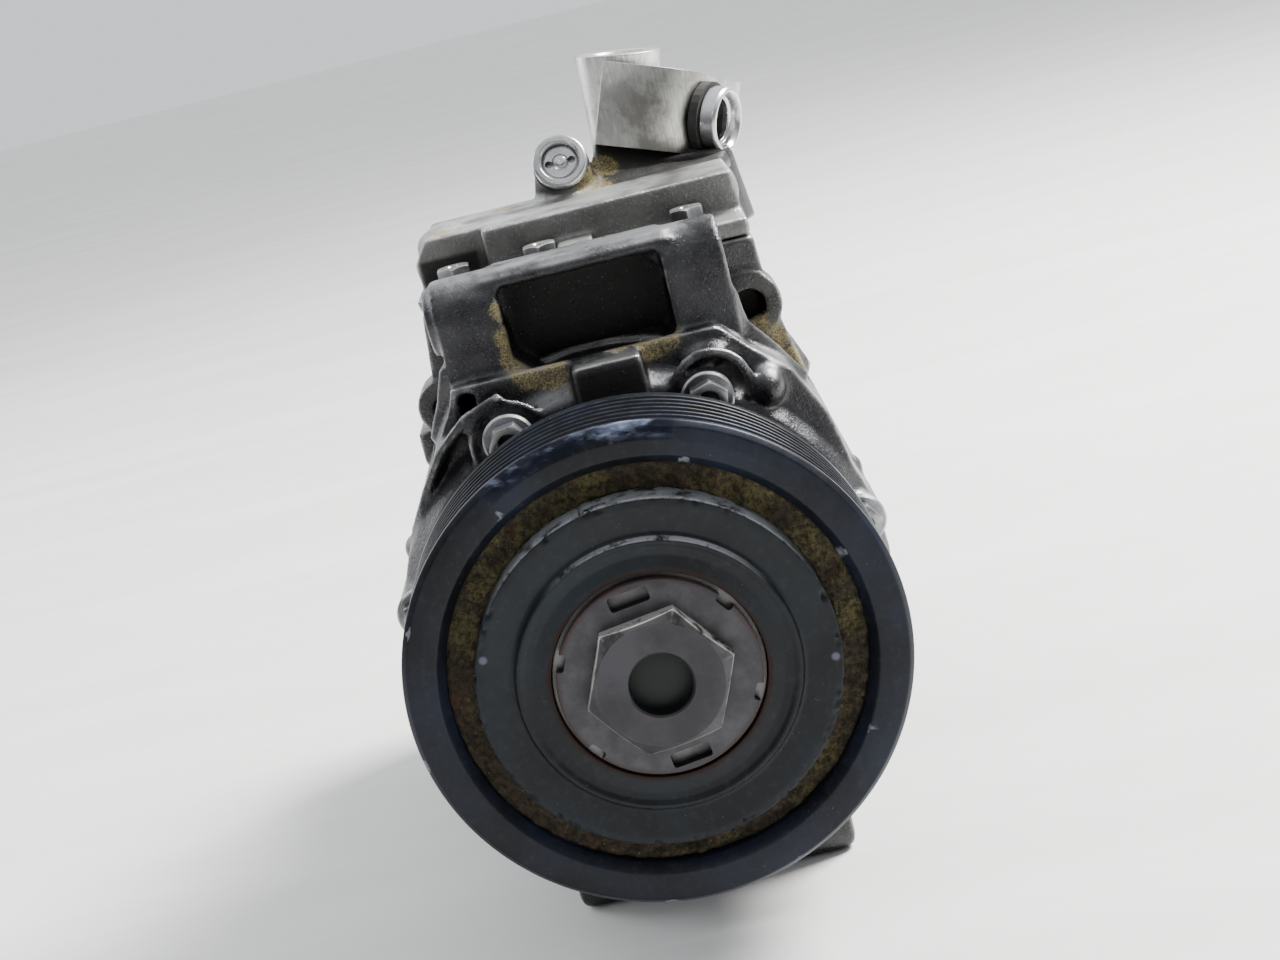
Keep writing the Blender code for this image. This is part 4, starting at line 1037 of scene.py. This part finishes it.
def front_casting():
    """Front housing: bosses and crests round the bolts, side ridges, and the bracket's window."""
    def lumps(form):
        add_blob(form, (26.0, 44.5, 55.2), (6.5, 5.0, 3.2), (0, -6, 0))
        add_blob(form, (38.0, 41.5, 45.2), (4.0, 6.0, 4.6))
        add_arc(form, (25.6, 38.6, 48.0), 8.6, 1.3, -70, 110)
        add_arc(form, (-21.6, 38.6, 47.4), 8.6, 1.2, -110, 60)
        add_box(form, (-3.8, 35.6, 46), (11.8, 46, 60.4))
        ridge = [
            (-22, 38.5, 57.5), (-30, 39, 54.5), (-37.5, 41, 48.0),
            (-43.6, 44, 38.6), (-48.5, 47, 30), (-52, 49, 20),
        ]
        add_chain(form, ridge, 1.5)
        add_chain(form, [(-32.6, 50, 64), (-35.6, 52, 56), (-39, 54, 49)], 1.8)
        add_chain(form, [(34.5, 50, 66), (35.5, 52, 58), (40, 54, 52), (46.5, 56, 42)], 2.0)
        add_rod(form, (-20, 51.1, 80.9), (24, 51.1, 81.1), 1.6)
        # Back wall of the window pocket, darkened by the painted shadow of WINDOW_SHADE.
        add_box(form, (-18.5, 62.5, 60), (22.5, 69.5, 83.0))
        add_wedge(form, (21.6, 81.2), (-7.0, -7.0), (51.5, 66))
        add_wedge(form, (-17.6, 56.5), (7.5, 7.5), (47.6, 66))
        add_wedge(form, (21.6, 57.5), (-4.5, 4.5), (47.6, 66))
        add_wedge(form, (-17.6, 81.2), (3.0, -3.0), (52.5, 66))
        add_blob(form, (54.0, 66, 14.5), (3.2, 4.5, 3.6))
        add_blob(form, (-52.0, 64, 21.0), (3.2, 4.5, 3.6))

    def slot(form):
        add_box(form, (-31.2, 36, 50.5), (-27.6, 66, 59.0), turn=6)

    casting("front_housing_cast", "front_housing", lumps, HOUSING, [cutter("left_slot", slot)], soften=12)


def block_casting():
    """Cylinder block: the ear on the right, the neck up to the ports, and ribs along the barrel."""
    rib_angles, rib_r = (62, 98, 134, 226, 262, 298), 56.4

    def lumps(form):
        add_chain(form, [(41.5, 76, 51.5), (45.0, 78, 46), (48.0, 80, 39)], 3.2)
        add_rod(form, (32, 137, 70), (33.5, 138, 90), 17.5, 13.5, segments=36)
        add_blob(form, (41, 112, 73), (4.5, 14, 6))
        for angle in rib_angles:
            turn = math.radians(angle)
            x, z = rib_r * math.sin(turn), rib_r * math.cos(turn)
            add_rod(form, (x, 74, z), (x, 156, z), 1.6, segments=14)

    casting("cylinder_block_cast", "cylinder_block", lumps, BLOCK)


def rear_casting():
    """Rear housing: spokes that run out from a round hub on the rear face."""
    spokes, inner_r, outer_r, rear_y = 12, 20, 46, 203.0

    def lumps(form):
        for index in range(spokes):
            turn = 2 * math.pi * index / spokes
            x, z = math.sin(turn), math.cos(turn)
            start, end = (inner_r * x, rear_y, inner_r * z), (outer_r * x, rear_y, outer_r * z)
            add_rod(form, start, end, 1.3, segments=12)
        add_rod(form, (0, 200, 0), (0, 204.6, 0), 12, 10.5)

    casting("rear_housing_cast", "rear_housing", lumps, BLOCK)


def cover_casting():
    """Top cover: a swelling at the left, a pad under the middle bolt, and the neck under the ports."""
    def lumps(form):
        add_blob(form, (-30, 108, 85), (8, 12, 5))
        add_box(form, (-2.5, 76, 78), (6.5, 88, 81.5))
        neck = (
            ((3, 112, 84), (3, 112, 88), (42, 112, 88), (42, 112, 84)),
            ((8, 122, 84), (9, 122, 91.5), (43, 122, 87.5), (44, 122, 84)),
            ((9, 130, 84), (11.5, 130, 98), (45, 130, 88.5), (46, 130, 84)),
            ((9, 146, 84), (11.5, 146, 98), (45, 146, 88.5), (46, 146, 84)),
        )
        add_loft(form, neck)
        add_blob(form, (41.0, 108, 82), (4.0, 14, 6.5))

    casting("top_cover_cast", "top_cover", lumps, COVER, soften=9, ripple=0.06)


# ---- frame nodes that stay, the stage, lights and camera ----

NODE_PAINTS = {
    "damper_rubber": RUBBER, "shaft_seal": RUBBER, "port_seal": RUBBER,
    "drive_shaft": GROUND, "swash_sleeve": GROUND, "bearing_outer_ring": GROUND, "bearing_inner_ring": GROUND,
    "bearing_circlip": SPRING, "front_bearing": GROUND, "rear_bearing": GROUND, "ball_cage": BRASS,
    "lug_plate": IRON, "swash_plate": IRON, "return_spring": SPRING, "reed_plate": SPRING,
    "valve_plate": IRON, "control_valve": MOULDING,
}


def paint_nodes():
    """Gives each CAD node that stays its material."""
    for name, node in NODES.items():
        paint = NODE_PAINTS.get(name)
        if name.startswith("piston_"):
            paint = PISTON
        elif "shoe" in name:
            paint = GROUND
        if paint is None:
            continue
        node.data.materials.clear()
        node.data.materials.append(paint)
        if name in ("port_seal", "control_valve"):
            round_off = math.radians(50)
            modify(node, "BEVEL", width=0.0004, segments=3, limit_method="ANGLE", angle_limit=round_off)
        shade(node.data)


def area_light(name, place, target, size, power, colour):
    light = bpy.data.lights.new(name, "AREA")
    light.shape = "RECTANGLE"
    light.size, light.size_y = size
    light.energy = power
    light.color = colour
    item = bpy.data.objects.new(name, light)
    item.location = place
    item.rotation_euler = (Vector(place) - Vector(target)).to_track_quat("Z", "Y").to_euler()
    bpy.context.scene.collection.objects.link(item)


def studio():
    """Soft light, strong from above and behind and dim from the front. The camera sees it evenly pale."""
    world = bpy.data.worlds.new("studio")
    world.use_nodes = True
    tree = world.node_tree
    way = tree.nodes.new("ShaderNodeTexCoord").outputs["Generated"]
    toward = tree.nodes.new("ShaderNodeVectorMath")
    toward.operation = "DOT_PRODUCT"
    toward.inputs[1].default_value = (0.1, 0.5, 0.86)
    ramp = tree.nodes.new("ShaderNodeMapRange")
    ramp.interpolation_type = "SMOOTHSTEP"
    dim, strong = 0.10, 1.15
    for name, value in (("From Min", -0.25), ("From Max", 0.55), ("To Min", dim), ("To Max", strong)):
        ramp.inputs[name].default_value = value
    tree.links.new(way, toward.inputs[0])
    tree.links.new(toward.outputs["Value"], ramp.inputs["Value"])
    seen = tree.nodes.new("ShaderNodeMix")
    tree.links.new(tree.nodes.new("ShaderNodeLightPath").outputs["Is Camera Ray"], seen.inputs["Factor"])
    tree.links.new(ramp.outputs[0], seen.inputs["A"])
    seen.inputs["B"].default_value = 1.0
    background = tree.nodes["Background"]
    background.inputs["Color"].default_value = (0.95, 0.97, 1.0, 1)
    tree.links.new(seen.outputs["Result"], background.inputs["Strength"])
    return world


def stage():
    """Pale floor and three lights."""
    floor_gap = 0.0002
    form = bmesh.new()
    bmesh.ops.create_grid(form, x_segments=1, y_segments=1, size=6)
    floor = link("floor", mesh_of("floor", form), floor_paint())
    floor.location.z = -floor_gap
    middle = (0, 0, 0.09)
    area_light("key", (0.80, 0.35, 1.00), middle, (0.5, 0.5), 62, (1.0, 0.99, 0.97))
    area_light("front_fill", (-0.25, -1.3, 0.95), middle, (0.7, 0.4), 2.0, (0.95, 0.97, 1.0))
    area_light("left_rim", (-0.9, 0.6, 0.5), middle, (0.4, 0.8), 6, (0.96, 0.98, 1.0))
    bpy.context.scene.world = studio()


def camera():
    """Looks along the shaft from the front and a little above, rolled so that the object leans."""
    lens = bpy.data.cameras.new("camera")
    lens.sensor_width = 36
    lens.lens = 56.25
    lens.clip_start = 0.01
    item = bpy.data.objects.new("camera", lens)
    item.location = SHAFT + Vector((0.01688, -0.39965, 0.15150))
    item.rotation_euler = (1.2956, 0.2355, -0.0381)
    bpy.context.scene.collection.objects.link(item)
    bpy.context.scene.camera = item


pulley_rim()
packed_grime()
damper_ring()
limiter_plate()
hub_back()
hub_nut()
all_bolts()
relief_valve()
port_sleeve()
port_block()
port_tower()
front_casting()
block_casting()
rear_casting()
cover_casting()
paint_nodes()
stage()
camera()
